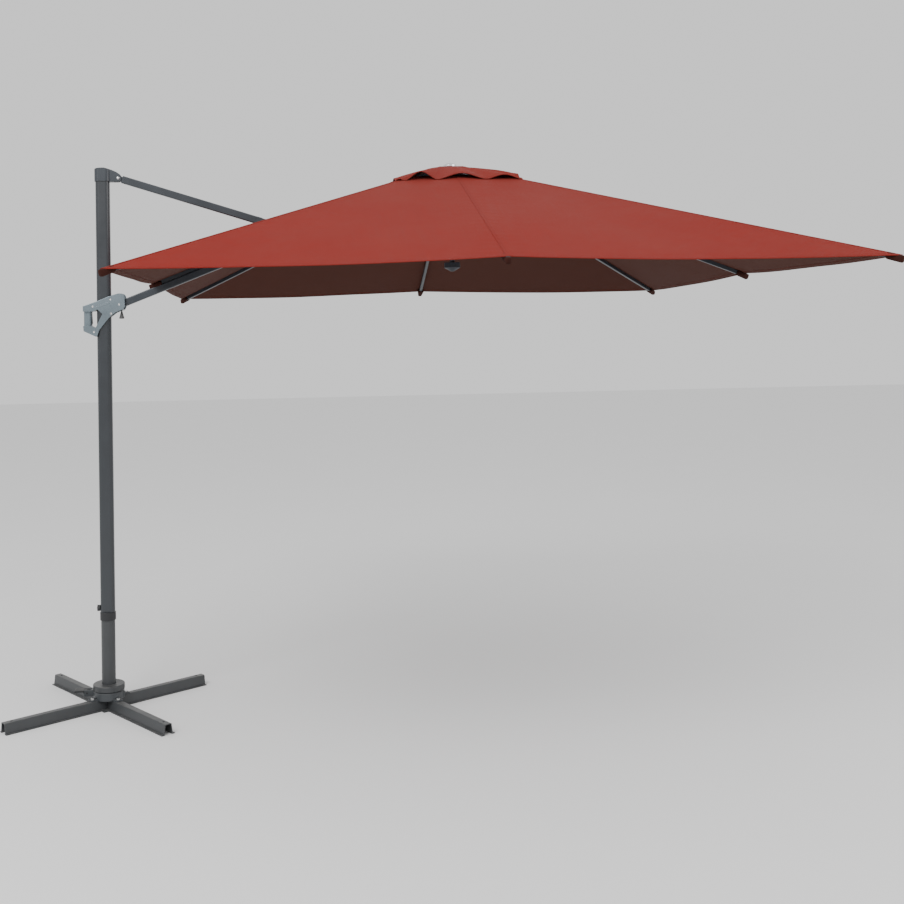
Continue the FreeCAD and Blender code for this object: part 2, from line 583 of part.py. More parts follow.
def build_mast():
    """Mast tube, head, sleeve, collar, lower tube, turret and lock knob."""
    face = -MAST_X / 2
    screw_hole = rod(V(face + 5, 0, LOCK_KNOB_Z), X_AXIS, 5.0, 30)
    outer = upright(MAST_X, MAST_Y, MAST_CORNER, MAST_BOTTOM, MAST_TOP)
    wall = 2 * MAST_WALL
    hollow = upright(MAST_X - wall, MAST_Y - wall, MAST_CORNER - MAST_WALL, MAST_BOTTOM, MAST_TOP)
    export("mast_tube", outer.cut(hollow).cut(screw_hole))
    sleeve = upright(MAST_X - wall, MAST_Y - wall, MAST_CORNER - MAST_WALL, MAST_BOTTOM, 540)
    cored = wall + 2 * SLEEVE_WALL
    sleeve = sleeve.cut(upright(MAST_X - cored, MAST_Y - cored, 14, 400, 600))
    export("mast_sleeve", sleeve.cut(screw_hole))
    collar = disc(COLLAR_R, COLLAR_BOTTOM, COLLAR_TOP)
    collar = collar.cut(disc(STUB_R, COLLAR_BOTTOM, MAST_BOTTOM))
    collar = collar.cut(upright(MAST_X, MAST_Y, MAST_CORNER, MAST_BOTTOM, COLLAR_TOP))
    rim = [e for e in collar.Edges if e.BoundBox.ZLength < 0.1 and e.BoundBox.XLength > 2 * COLLAR_R - 1]
    export("mast_collar", collar.makeFillet(2.0, rim))
    stub = disc(STUB_R, TURRET_SEAT, MAST_BOTTOM).cut(disc(STUB_R - STUB_WALL, TURRET_SEAT, MAST_BOTTOM))
    export("lower_tube", stub)
    turret = disc(TURRET_R, TURRET_BOTTOM, TURRET_TOP)
    rims = [e for e in turret.Edges if e.BoundBox.ZLength < 0.1 and e.BoundBox.XLength > 2 * TURRET_R - 1]
    turret = turret.makeFillet(4.0, [e for e in rims if e.BoundBox.ZMin > TURRET_BOTTOM + 1])
    turret = turret.cut(disc(STUB_R, TURRET_SEAT, TURRET_TOP + 1))
    export("turret", turret.cut(disc(SPINDLE_R - 6, TURRET_BOTTOM - 1, TURRET_SEAT)))
    spindle = disc(SPINDLE_R, SPINDLE_BOTTOM, TURRET_BOTTOM).fuse(disc(SPINDLE_R - 6, TURRET_BOTTOM - 1, TURRET_SEAT))
    export("spindle", spindle.removeSplitter())
    screw = rod(V(face + 8, 0, LOCK_KNOB_Z), X_AXIS, 5.0 - RUNNING, 26)
    knob = rod(V(face - 9, 0, LOCK_KNOB_Z), X_AXIS, 15.0, 14)
    for k in range(8):
        turn = k * math.pi / 4
        place_on_rim = V(face - 9, 16.2 * math.cos(turn), LOCK_KNOB_Z + 16.2 * math.sin(turn))
        knob = knob.cut(rod(place_on_rim, X_AXIS, 3.2, 16))
    export("lock_knob", join([knob, screw]))
    build_mast_head()


def build_mast_head():
    """Cap on the mast with the two cheeks that hold the strut."""
    cap = upright(MAST_X + 8, MAST_Y + 8, 22, 2590, 2657)
    profile = [
        (-50, 2665), (-50, 2646), (-39, 2651), (-28, 2655), (-8, 2657), (10, 2657), (50, 2646),
        (50, 2665),
    ]
    cap = cap.cut(plate_xz(profile, -40, 40))
    inner = HUB_TONGUE / 2 + SIDE
    outer = inner + 6
    cheek = [
        (10, 2656), (28, 2653), (48, 2646), (70, 2636), (86, 2625), (95, 2612), (96, 2600), (90, 2590),
        (80, 2587), (34, 2587), (20, 2592),
    ]
    web = [(20, 2654), (28, 2652), (46, 2644), (58, 2638), (58, 2587), (34, 2587), (20, 2592)]
    pieces = [cap, plate_xz(web, -outer, outer)]
    for side in (-1, 1):
        low, high = sorted((side * inner, side * outer))
        pieces.append(plate_xz(cheek, low, high))
        pieces.append(rod(STRUT_PIVOT + V(0, side * (inner + outer) / 2, 0), Y_AXIS, 15.0, 6))
    head = join(pieces).cut(upright(MAST_X, MAST_Y, MAST_CORNER, 2580, MAST_TOP))
    head = head.cut(rod(STRUT_PIVOT, Y_AXIS, ARM_PIN_R, 60))
    export("mast_head", head)
    export("head_pin", rod(STRUT_PIVOT, Y_AXIS, ARM_PIN_R, 2 * outer + 6))


def hat_section(width, flare, top):
    """Four corners of a hat section's upright part, wider at its foot."""
    return [V(0, -width - flare, 0), V(0, -width, top), V(0, width, top), V(0, width + flare, 0)]


def make_beam():
    """Hat section beam along X, hollow below, with its anchor holes."""
    half = BEAM_WIDTH / 2
    reach = V(2 * BEAM_HALF, 0, 0)
    corners = hat_section(half, BEAM_FLARE, BEAM_TOP)
    beam = Part.Face(Part.makePolygon(corners + corners[:1])).extrude(reach)
    ridges = [e for e in beam.Edges if e.BoundBox.XLength > BEAM_HALF and e.BoundBox.ZMin > BEAM_TOP - 1]
    beam = beam.makeFillet(5.0, ridges)
    foot = half + BEAM_FLARE + BEAM_FLANGE
    beam = beam.fuse(block(0, 2 * BEAM_HALF, -foot, foot, 0, BEAM_WALL))
    hollow = hat_section(half - BEAM_WALL, BEAM_FLARE, BEAM_TOP - BEAM_WALL)
    core = Part.Face(Part.makePolygon(hollow + hollow[:1])).extrude(reach)
    beam = beam.cut(core).removeSplitter()
    beam.translate(V(-BEAM_HALF, 0, 0))
    for x in (-ANCHOR_R, ANCHOR_R):
        beam = beam.cut(disc(ANCHOR_HOLE_R, 0, BEAM_TOP + 1, x))
    for x in (-BOLT_RING, BOLT_RING):
        beam = beam.cut(disc(BOLT_R, 0, BEAM_TOP + 1, x))
    side = PLATE_HALF
    return beam.cut(block(-side, side, -side, side, 0, PLATE_THICK))


def build_base():
    """Two half-lapped beams, centre plate, swivel housing, bolts and pedal."""
    half = BEAM_WIDTH / 2
    lap = half + BEAM_FLARE
    middle = BEAM_TOP / 2
    over = make_beam().cut(block(-lap, lap, -60, 60, -1, middle))
    under = make_beam().cut(block(-lap, lap, -60, 60, middle, BEAM_TOP + 1))
    export("cross_beam_over", place(over, 0, BEAM_ANGLE, ORIGIN))
    export("cross_beam_under", place(under, 0, BEAM_ANGLE + 90, ORIGIN))
    side = PLATE_HALF
    plate = block(-side, side, -side, side, 0, PLATE_THICK)
    export("centre_plate", place(plate, 0, BEAM_ANGLE, ORIGIN))
    housing = disc(HOUSING_R, BEAM_TOP, HOUSING_TOP - 8)
    housing = housing.fuse(Part.makeCone(HOUSING_R, HOUSING_R - 8, 8, V(0, 0, HOUSING_TOP - 8)))
    bolts = []
    for k in range(4):
        ear = block(0, BOLT_RING + 14, -half, half, BEAM_TOP, BEAM_TOP + 8)
        ear = ear.cut(disc(BOLT_R, BEAM_TOP - 1, BEAM_TOP + 9, BOLT_RING))
        housing = housing.fuse(place(ear, 0, BEAM_ANGLE + 90 * k, ORIGIN))
        bolt = disc(BOLT_R, BEAM_TOP - 18, BEAM_TOP + 9, BOLT_RING)
        bolt = bolt.fuse(disc(9.0, BEAM_TOP + 8, BEAM_TOP + 14, BOLT_RING))
        bolt = bolt.fuse(disc(9.0, BEAM_TOP - BEAM_WALL - 7, BEAM_TOP - BEAM_WALL, BOLT_RING))
        bolts.append(place(bolt.removeSplitter(), 0, BEAM_ANGLE + 90 * k, ORIGIN))
    low = SPINDLE_BOTTOM + 4
    fork = [block(-118, -70, -19, -12, low, HOUSING_TOP), block(-118, -70, 12, 19, low, HOUSING_TOP)]
    fork.append(block(-84, -70, -19, 19, low, HOUSING_TOP))
    for piece in fork:
        housing = housing.fuse(piece)
    housing = housing.removeSplitter().cut(disc(HOUSING_BORE, SPINDLE_BOTTOM, HOUSING_TOP + 1))
    pivot = V(PEDAL_X, 0, PEDAL_Z)
    housing = housing.cut(rod(pivot, Y_AXIS, PEDAL_PIN_R + RUNNING, 60))
    export("swivel_housing", housing)
    export("base_bolts", Part.makeCompound(bolts))
    tread = block(-165, -118, -24, 24, PEDAL_Z + 4, PEDAL_Z + 14)
    tread = tread.makeFillet(3.0, tread.Edges)
    pedal = join([
        tread,
        block(-122, PEDAL_X, -11.7, 11.7, PEDAL_Z - 6, PEDAL_Z + 12),
        rod(pivot, Y_AXIS, 9.0, 23.4),
        rod(pivot, Y_AXIS, PEDAL_PIN_R, 42),
    ])
    export("foot_pedal", pedal)


def main():
    """Builds every part."""
    os.makedirs("parts", exist_ok=True)
    build_canopy_frame()
    build_arm()
    build_slider()
    build_mast()
    build_base()


main()
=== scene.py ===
"""Looks for a cantilever patio umbrella: fabric, finishes, small hardware, floor, light and camera."""

import json
import logging
import math
from dataclasses import dataclass, field
from enum import Enum
from typing import Callable, Iterable

import bmesh
import bpy
from mathutils import Euler, Matrix, Vector, noise


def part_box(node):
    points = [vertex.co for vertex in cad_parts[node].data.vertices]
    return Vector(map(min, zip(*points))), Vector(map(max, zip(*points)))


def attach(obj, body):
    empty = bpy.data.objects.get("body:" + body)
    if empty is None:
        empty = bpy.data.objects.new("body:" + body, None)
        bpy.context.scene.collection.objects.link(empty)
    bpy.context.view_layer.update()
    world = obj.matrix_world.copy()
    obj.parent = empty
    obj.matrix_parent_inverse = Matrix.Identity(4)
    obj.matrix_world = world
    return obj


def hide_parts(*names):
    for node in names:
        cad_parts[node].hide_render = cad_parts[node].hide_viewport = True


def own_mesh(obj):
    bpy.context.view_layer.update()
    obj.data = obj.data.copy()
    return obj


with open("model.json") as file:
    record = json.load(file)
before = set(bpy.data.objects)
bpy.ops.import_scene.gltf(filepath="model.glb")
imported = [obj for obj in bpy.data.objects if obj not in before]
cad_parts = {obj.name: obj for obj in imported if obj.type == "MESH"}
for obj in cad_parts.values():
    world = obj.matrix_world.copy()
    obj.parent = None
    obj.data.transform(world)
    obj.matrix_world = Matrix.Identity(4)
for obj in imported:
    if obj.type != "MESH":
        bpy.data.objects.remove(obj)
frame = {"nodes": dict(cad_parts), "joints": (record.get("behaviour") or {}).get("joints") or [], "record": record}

logging.basicConfig(level=logging.INFO, format="%(name)s: %(message)s")
log = logging.getLogger("umbrella")

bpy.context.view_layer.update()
Colour = tuple[float, float, float]
Socket = bpy.types.NodeSocket
Surface = Callable[[float, float], Vector]
Placing = Callable[[float, float], tuple[Vector, tuple[float, float]]]

EDGE_RADIUS = 0.0012
SLUB_FINE = 160.0
SLUB_LONG = 3.0
STITCH_PITCH = 0.004
STITCH_SHARE = 0.72
METAL_DUST = (0.42, 0.40, 0.37, 1.0)
PLASTIC_DUST = (0.35, 0.33, 0.30, 1.0)
CLOTH_DUST = (0.22, 0.075, 0.058, 1.0)
SCREW_PROUD = 0.0004
CAP_OVERLAP = 0.003
STEM_RADIUS = 0.0040


# ---------------------------------------------------------------- frame facts


def joint_record(name: str) -> dict:
    """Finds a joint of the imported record.

    Args:
        name: The joint's name.

    Returns:
        The joint's record.
    """
    return next(j for j in frame["joints"] if j["name"] == name)


def box_centre(node: str) -> Vector:
    """Gives the middle of a CAD node's box.

    Args:
        node: The node's name.

    Returns:
        The middle, in metres.
    """
    low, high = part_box(node)
    return (Vector(low) + Vector(high)) / 2


# ---------------------------------------------------------------- node graphs


class Graph:
    """Short way to add and join nodes in one shader tree."""

    def __init__(self, tree: bpy.types.NodeTree) -> None:
        """Keeps the tree that the nodes go in."""
        self.tree = tree

    def node(self, kind: str, settings: dict | None = None, **inputs: object) -> bpy.types.Node:
        """Adds a node.

        Args:
            kind: Blender's name for the node type.
            settings: Properties of the node itself.
            inputs: Input sockets by name, with underscores for spaces.

        Returns:
            The new node.
        """
        made = self.tree.nodes.new(kind)
        for name, value in (settings or {}).items():
            setattr(made, name, value)
        for name, value in inputs.items():
            self.feed(made.inputs[name.replace("_", " ")], value)
        return made

    def feed(self, socket: Socket, value: object) -> None:
        """Joins a socket to another one, or sets its value.

        Args:
            socket: The input to fill.
            value: An output socket, or a plain value.
        """
        if isinstance(value, bpy.types.NodeSocket):
            self.tree.links.new(value, socket)
        else:
            socket.default_value = value

    def math(self, operation: str, a: object, b: object = 0.0, clamp: bool = False) -> Socket:
        """Adds a Math node.

        Args:
            operation: The operation's name.
            a: First operand.
            b: Second operand.
            clamp: Keeps the result from 0 to 1.

        Returns:
            The result socket.
        """
        made = self.tree.nodes.new("ShaderNodeMath")
        made.operation = operation
        made.use_clamp = clamp
        self.feed(made.inputs[0], a)
        self.feed(made.inputs[1], b)
        return made.outputs[0]

    def mix(self, factor: object, a: object, b: object) -> Socket:
        """Mixes two colours.

        Args:
            factor: Share of the second colour.
            a: First colour.
            b: Second colour.

        Returns:
            The mixed colour.
        """
        made = self.tree.nodes.new("ShaderNodeMix")
        made.data_type = "RGBA"
        self.feed(made.inputs["Factor"], factor)
        self.feed(made.inputs[6], a)
        self.feed(made.inputs[7], b)
        return made.outputs[2]

    def noise(self, vector: object, scale: float, detail: float = 3.0, rough: float = 0.55) -> Socket:
        """Adds a noise texture.

        Args:
            vector: Coordinates.
            scale: Texture scale.
            detail: Octaves.
            rough: Weight of the finer octaves.

        Returns:
            The noise value.
        """
        made = self.node("ShaderNodeTexNoise", None, Scale=scale, Detail=detail, Roughness=rough)
        self.feed(made.inputs["Vector"], vector)
        return made.outputs[0]

    def span(self, value: Socket, low: float, high: float,
             to_low: float = 0.0, to_high: float = 1.0) -> Socket:
        """Maps a range of values to another one, held at its ends.

        Args:
            value: The value to map.
            low: Start of the range.
            high: End of the range.
            to_low: Result at the start.
            to_high: Result at the end.

        Returns:
            The mapped value.
        """
        made = self.node("ShaderNodeMapRange", {"clamp": True})
        for index, number in enumerate((value, low, high, to_low, to_high)):
            self.feed(made.inputs[index], number)
        return made.outputs[0]

    def place(self) -> Socket:
        """Gives the object coordinates."""
        return self.node("ShaderNodeTexCoord").outputs["Object"]


class SharedEffects:
    """Shader node groups that several finishes use."""

    def __init__(self) -> None:
        """Builds each group once."""
        self.edge_wear = self.make_edge_wear()
        self.grain = self.make_grain()
        self.dust = self.make_dust()
        self.weave = self.make_weave()
        self.stitch = self.make_stitch()

    @staticmethod
    def start(name: str, inputs: dict[str, tuple[str, float | None]], outputs: dict[str, str]) -> tuple:
        """Starts a group with named sockets.

        Args:
            name: The group's name.
            inputs: Socket type and default value by name.
            outputs: Socket type by name.

        Returns:
            The group, its graph, its input node and its output node.
        """
        group = bpy.data.node_groups.new(name, "ShaderNodeTree")
        for label, (kind, value) in inputs.items():
            socket = group.interface.new_socket(label, in_out="INPUT", socket_type=kind)
            if value is not None:
                socket.default_value = value
        for label, kind in outputs.items():
            group.interface.new_socket(label, in_out="OUTPUT", socket_type=kind)
        source = group.nodes.new("NodeGroupInput")
        sink = group.nodes.new("NodeGroupOutput")
        return group, Graph(group), source, sink

    def make_edge_wear(self) -> bpy.types.NodeTree:
        """Makes a group that finds rubbed edges and gives a softened edge normal.

        Returns:
            The node group.
        """
        group, g, source, sink = self.start(
            "edge_wear",
            {"Vector": ("NodeSocketVector", None), "Amount": ("NodeSocketFloat", 0.5)},
            {"Mask": "NodeSocketFloat", "Normal": "NodeSocketVector"},
        )
        rounded = g.node("ShaderNodeBevel", {"samples": 4}, Radius=EDGE_RADIUS)
        flat = g.node("ShaderNodeNewGeometry")
        same = g.node("ShaderNodeVectorMath", {"operation": "DOT_PRODUCT"})
        g.feed(same.inputs[0], rounded.outputs[0])
        g.feed(same.inputs[1], flat.outputs["Normal"])
        edge = g.span(same.outputs["Value"], 0.995, 0.90)
        patchy = g.span(g.noise(source.outputs["Vector"], 60.0, 5.0, 0.7), 0.42, 0.72)
        mask = g.math("MULTIPLY", g.math("MULTIPLY", edge, patchy), source.outputs["Amount"], True)
        g.feed(sink.inputs["Mask"], mask)
        g.feed(sink.inputs["Normal"], rounded.outputs[0])
        return group

    def make_grain(self) -> bpy.types.NodeTree:
        """Makes a group for the fine pimples of powder coat and moulded plastic.

        Returns:
            The node group.
        """
        group, g, source, sink = self.start(
            "grain",
            {"Vector": ("NodeSocketVector", None), "Size": ("NodeSocketFloat", 0.001)},
            {"Height": "NodeSocketFloat", "Mottle": "NodeSocketFloat"},
        )
        sized = g.node("ShaderNodeVectorMath", {"operation": "SCALE"})
        g.feed(sized.inputs[0], source.outputs["Vector"])
        g.feed(sized.inputs["Scale"], g.math("DIVIDE", 1.0, source.outputs["Size"]))
        g.feed(sink.inputs["Height"], g.noise(sized.outputs[0], 1.0, 2.0))
        g.feed(sink.inputs["Mottle"], g.noise(source.outputs["Vector"], 9.0, 4.0, 0.6))
        return group

    def make_dust(self) -> bpy.types.NodeTree:
        """Makes a group that gathers dust on faces that look up.

        Returns:
            The node group.
        """
        group, g, source, sink = self.start(
            "dust",
            {"Vector": ("NodeSocketVector", None), "Amount": ("NodeSocketFloat", 0.3)},
            {"Mask": "NodeSocketFloat"},
        )
        split = g.node("ShaderNodeSeparateXYZ")
        g.feed(split.inputs[0], g.node("ShaderNodeNewGeometry").outputs["Normal"])
        upward = g.span(split.outputs["Z"], 0.35, 0.95)
        cloud = g.span(g.noise(source.outputs["Vector"], 14.0, 6.0, 0.65), 0.35, 0.75)
        mask = g.math("MULTIPLY", g.math("MULTIPLY", upward, cloud), source.outputs["Amount"], True)
        g.feed(sink.inputs["Mask"], mask)
        return group

    def make_weave(self) -> bpy.types.NodeTree:
        """Makes a group for plain woven cloth on a map in metres.

        Returns:
            The node group.
        """
        group, g, source, sink = self.start(
            "weave",
            {"Vector": ("NodeSocketVector", None), "Thread": ("NodeSocketFloat", 0.0012)},
            {"Height": "NodeSocketFloat", "Slub": "NodeSocketFloat"},
        )
        split = g.node("ShaderNodeSeparateXYZ")
        g.feed(split.inputs[0], source.outputs["Vector"])
        turns = g.math("DIVIDE", math.pi, source.outputs["Thread"])
        warp = g.math("SINE", g.math("MULTIPLY", split.outputs["X"], turns))
        weft = g.math("SINE", g.math("MULTIPLY", split.outputs["Y"], turns))
        g.feed(sink.inputs["Height"], g.math("MULTIPLY", warp, weft))
        streaks = []
        for scale in ((SLUB_FINE, SLUB_LONG, 1.0), (SLUB_LONG, SLUB_FINE, 1.0)):
            drawn = g.node("ShaderNodeMapping", {"vector_type": "POINT"})
            g.feed(drawn.inputs["Vector"], source.outputs["Vector"])
            drawn.inputs["Scale"].default_value = scale
            streaks.append(g.noise(drawn.outputs[0], 1.0, 2.0))
        g.feed(sink.inputs["Slub"], g.math("MULTIPLY", g.math("ADD", *streaks), 0.5))
        return group

    def make_stitch(self) -> bpy.types.NodeTree:
        """Makes a group for two rows of lock stitches along a strip mapped in metres.

        Returns:
            The node group.
        """
        group, g, source, sink = self.start(
            "stitch",
            {"Vector": ("NodeSocketVector", None), "Row": ("NodeSocketFloat", 0.005),
             "Pitch": ("NodeSocketFloat", STITCH_PITCH)},
            {"Mask": "NodeSocketFloat", "Dip": "NodeSocketFloat"},
        )
        split = g.node("ShaderNodeSeparateXYZ")
        g.feed(split.inputs[0], source.outputs["Vector"])
        aside = g.math("ABSOLUTE", split.outputs["X"])
        away = g.math("ABSOLUTE", g.math("SUBTRACT", aside, source.outputs["Row"]))
        row = g.span(away, 0.0009, 0.0004)
        step = g.math("FRACT", g.math("DIVIDE", split.outputs["Y"], source.outputs["Pitch"]))
        thread = g.math("LESS_THAN", step, STITCH_SHARE)
        g.feed(sink.inputs["Mask"], g.math("MULTIPLY", row, thread))
        g.feed(sink.inputs["Dip"], g.span(away, 0.0035, 0.0))
        return group


# ---------------------------------------------------------------- finishes


@dataclass(frozen=True)
class Finish:
    """Base of every finish: a named material with one Principled shader."""

    name: str
    colour: Colour
    roughness: float = 0.5

    def build(self, effects: SharedEffects) -> bpy.types.Material:
        """Builds the material.

        Args:
            effects: The shared node groups.

        Returns:
            The material.
        """
        made = bpy.data.materials.new(self.name)
        made.use_nodes = True
        made.diffuse_color = (*self.colour, 1.0)
        self.paint(Graph(made.node_tree), made.node_tree.nodes["Principled BSDF"], effects)
        return made

    def paint(self, g: Graph, shader: bpy.types.Node, effects: SharedEffects) -> None:
        """Joins the finish's own nodes to the shader.

        Args:
            g: The material's graph.
            shader: Its Principled node.
            effects: The shared node groups.
        """
        raise NotImplementedError

    @staticmethod
    def relief(g: Graph, shader: bpy.types.Node, height: Socket, normal: Socket,
               strength: float, distance: float) -> None:
        """Joins a bump to the shader.

        Args:
            g: The material's graph.
            shader: Its Principled node.
            height: The bump's height.
            normal: The normal under the bump.
            strength: The bump's strength.
            distance: Its depth in metres.
        """
        bump = g.node("ShaderNodeBump", None, Strength=strength, Distance=distance)
        g.feed(bump.inputs["Height"], height)
        g.feed(bump.inputs["Normal"], normal)
        g.feed(shader.inputs["Normal"], bump.outputs[0])

    @staticmethod
    def effect(graph: Graph, group: bpy.types.NodeTree, **values: object) -> bpy.types.Node:
        """Places a shared effect in a material.

        Args:
            graph: The material's graph.
            group: The effect's node group.
            values: Its inputs.

        Returns:
            The group node.
        """
        made = graph.tree.nodes.new("ShaderNodeGroup")
        made.node_tree = group
        for label, value in values.items():
            graph.feed(made.inputs[label], value)
        return made

    def shade(self, factor: float) -> tuple[float, float, float, float]:
        """Gives the colour, lighter or darker by a factor."""
        return (*(min(1.0, c * factor) for c in self.colour), 1.0)


@dataclass(frozen=True)
class CoatedMetal(Finish):
    """Powder coated or painted metal, rubbed at its edges."""

    bare: Colour = (0.42, 0.42, 0.42)
    grain_size: float = 0.0011
    grain_depth: float = 0.12
    wear: float = 0.45
    dust: float = 0.25
    metallic: float = 0.0
    coat: float = 0.0

    def paint(self, g: Graph, shader: bpy.types.Node, effects: SharedEffects) -> None:
        """Joins the finish's own nodes to the shader."""
        where = g.place()
        grain = self.effect(g, effects.grain, Vector=where, Size=self.grain_size)
        edges = self.effect(g, effects.edge_wear, Vector=where, Amount=self.wear)
        dust = self.effect(g, effects.dust, Vector=where, Amount=self.dust)
        tone = g.span(grain.outputs["Mottle"], 0.3, 0.7)
        base = g.mix(tone, self.shade(0.9), self.shade(1.1))
        base = g.mix(edges.outputs["Mask"], base, (*self.bare, 1.0))
        base = g.mix(dust.outputs["Mask"], base, METAL_DUST)
        g.feed(shader.inputs["Base Color"], base)
        rough = g.span(grain.outputs["Mottle"], 0.3, 0.7, self.roughness - 0.05, self.roughness + 0.07)
        dull = g.math("MULTIPLY", dust.outputs["Mask"], 0.3)
        g.feed(shader.inputs["Roughness"], g.math("ADD", rough, dull))
        shine = g.math("MAXIMUM", edges.outputs["Mask"], self.metallic)
        g.feed(shader.inputs["Metallic"], shine)
        shader.inputs["Coat Weight"].default_value = self.coat
        shader.inputs["Coat Roughness"].default_value = 0.2
        self.relief(g, shader, grain.outputs["Height"], edges.outputs["Normal"], self.grain_depth, 0.0004)


@dataclass(frozen=True)
class BareMetal(Finish):
    """Turned, drawn or plated metal with fine lines along one axis."""

    stretch: Colour = (1.0, 1.0, 40.0)
    line_depth: float = 0.15

    def paint(self, g: Graph, shader: bpy.types.Node, effects: SharedEffects) -> None:
        """Joins the finish's own nodes to the shader."""
        where = g.place()
        lines = g.node("ShaderNodeMapping")
        g.feed(lines.inputs["Vector"], where)
        lines.inputs["Scale"].default_value = [60.0 * s for s in self.stretch]
        streak = g.noise(lines.outputs[0], 1.0, 3.0, 0.6)
        edges = self.effect(g, effects.edge_wear, Vector=where, Amount=0.6)
        base = g.mix(g.span(streak, 0.3, 0.7), self.shade(0.85), self.shade(1.1))
        base = g.mix(edges.outputs["Mask"], base, self.shade(1.3))
        g.feed(shader.inputs["Base Color"], base)
        shader.inputs["Metallic"].default_value = 1.0
        rough = g.span(streak, 0.3, 0.7, self.roughness - 0.06, self.roughness + 0.1)
        g.feed(shader.inputs["Roughness"], rough)
        self.relief(g, shader, streak, edges.outputs["Normal"], self.line_depth, 0.0002)


@dataclass(frozen=True)
class MouldedPlastic(Finish):
    """Moulded plastic with a fine eroded texture."""

    grain_size: float = 0.0009
    grain_depth: float = 0.2
    dust: float = 0.3

    def paint(self, g: Graph, shader: bpy.types.Node, effects: SharedEffects) -> None:
        """Joins the finish's own nodes to the shader."""
        where = g.place()
        grain = self.effect(g, effects.grain, Vector=where, Size=self.grain_size)
        edges = self.effect(g, effects.edge_wear, Vector=where, Amount=0.35)
        dust = self.effect(g, effects.dust, Vector=where, Amount=self.dust)
        base = g.mix(g.span(grain.outputs["Mottle"], 0.3, 0.7), self.shade(0.88), self.shade(1.12))
        base = g.mix(edges.outputs["Mask"], base, self.shade(1.9))
        base = g.mix(dust.outputs["Mask"], base, PLASTIC_DUST)
        g.feed(shader.inputs["Base Color"], base)
        rough = g.span(grain.outputs["Mottle"], 0.3, 0.7, self.roughness, self.roughness + 0.12)
        g.feed(shader.inputs["Roughness"], rough)
        self.relief(g, shader, grain.outputs["Height"], edges.outputs["Normal"], self.grain_depth, 0.0003)


@dataclass(frozen=True)
class Polyester(Finish):
    """Woven canopy cloth, a little faded near its top."""

    faded: Colour = (0.205, 0.044, 0.035)
    fade: float = 0.55
    thread: float = 0.0016
    stitched: bool = False
    stitch_row: float = 0.005

    def paint(self, g: Graph, shader: bpy.types.Node, effects: SharedEffects) -> None:
        """Joins the finish's own nodes to the shader."""
        laid = g.node("ShaderNodeUVMap", {"uv_map": "cloth"}).outputs[0]
        where = g.place()
        weave = self.effect(g, effects.weave, Vector=laid, Thread=self.thread)
        dust = self.effect(g, effects.dust, Vector=where, Amount=0.06)
        slub = g.span(weave.outputs["Slub"], 0.35, 0.65)
        base = g.mix(slub, self.shade(0.90), self.shade(1.10))
        reach = g.node("ShaderNodeVectorMath", {"operation": "LENGTH"})
        g.feed(reach.inputs[0], laid)
        near_top = g.span(reach.outputs["Value"], 2.0, 0.3)
        patches = g.span(g.noise(where, 1.6, 5.0, 0.6), 0.30, 0.70)
        fade = g.math("MULTIPLY", g.math("MULTIPLY", g.math("ADD", near_top, patches), 0.5), self.fade, True)
        base = g.mix(fade, base, (*self.faded, 1.0))
        base = g.mix(dust.outputs["Mask"], base, CLOTH_DUST)
        height = weave.outputs["Height"]
        if self.stitched:
            strip = g.node("ShaderNodeAttribute", {"attribute_name": "strip"}).outputs["Vector"]
            stitch = self.effect(g, effects.stitch, Vector=strip, Row=self.stitch_row, Pitch=STITCH_PITCH)
            base = g.mix(stitch.outputs["Mask"], base, self.shade(0.45))
            raised = g.math("MULTIPLY", stitch.outputs["Mask"], 2.5)
            height = g.math("ADD", height, g.math("SUBTRACT", raised, stitch.outputs["Dip"]))
        g.feed(shader.inputs["Base Color"], base)
        g.feed(shader.inputs["Roughness"], g.span(slub, 0.0, 1.0, self.roughness, self.roughness + 0.1))
        shader.inputs["Sheen Weight"].default_value = 0.02
        shader.inputs["Sheen Roughness"].default_value = 0.5
        shader.inputs["Sheen Tint"].default_value = (1.0, 0.5, 0.45, 1.0)
        shader.inputs["Specular IOR Level"].default_value = 0.10
        soft = g.node("ShaderNodeBump", None, Strength=0.35, Distance=0.012)
        g.feed(soft.inputs["Height"], g.noise(where, 6.0, 4.0, 0.5))
        self.relief(g, shader, height, soft.outputs[0], 0.5, 0.0005)


@dataclass(frozen=True)
class Ground(Finish):
    """Plain pale floor."""

    def paint(self, g: Graph, shader: bpy.types.Node, effects: SharedEffects) -> None:
        """Joins the finish's own nodes to the shader."""
        where = g.place()
        g.feed(shader.inputs["Base Color"], g.mix(g.noise(where, 1.5), self.shade(0.98), self.shade(1.0)))
        shader.inputs["Roughness"].default_value = self.roughness


class FinishName(Enum):
    """Finishes by the record's slot names, and those of the added pieces."""

    FRAME = "frame"
    MAST = "mast_steel"
    SLEEVE = "sleeve_steel"
    BASE = "base_steel"
    HOUSING = "housing_metal"
    DARK = "dark_plastic"
    GRIP = "grip_plastic"
    POLE = "pole_metal"
    CAP = "cap_plastic"
    BRACKET = "bracket_metal"
    FASTENER = "fastener"
    FINIAL = "finial_metal"
    CANOPY = "canopy_fabric"
    SEAM = "canopy_seam"
    # Dark underside finish: part the cloth's coating, part painted shade for the shade under the canopy.
    UNDERSIDE_COAT_AND_PAINTED_SHADE = "canopy_lining"
    TRIM = "canopy_trim"
    FLOOR = "floor"


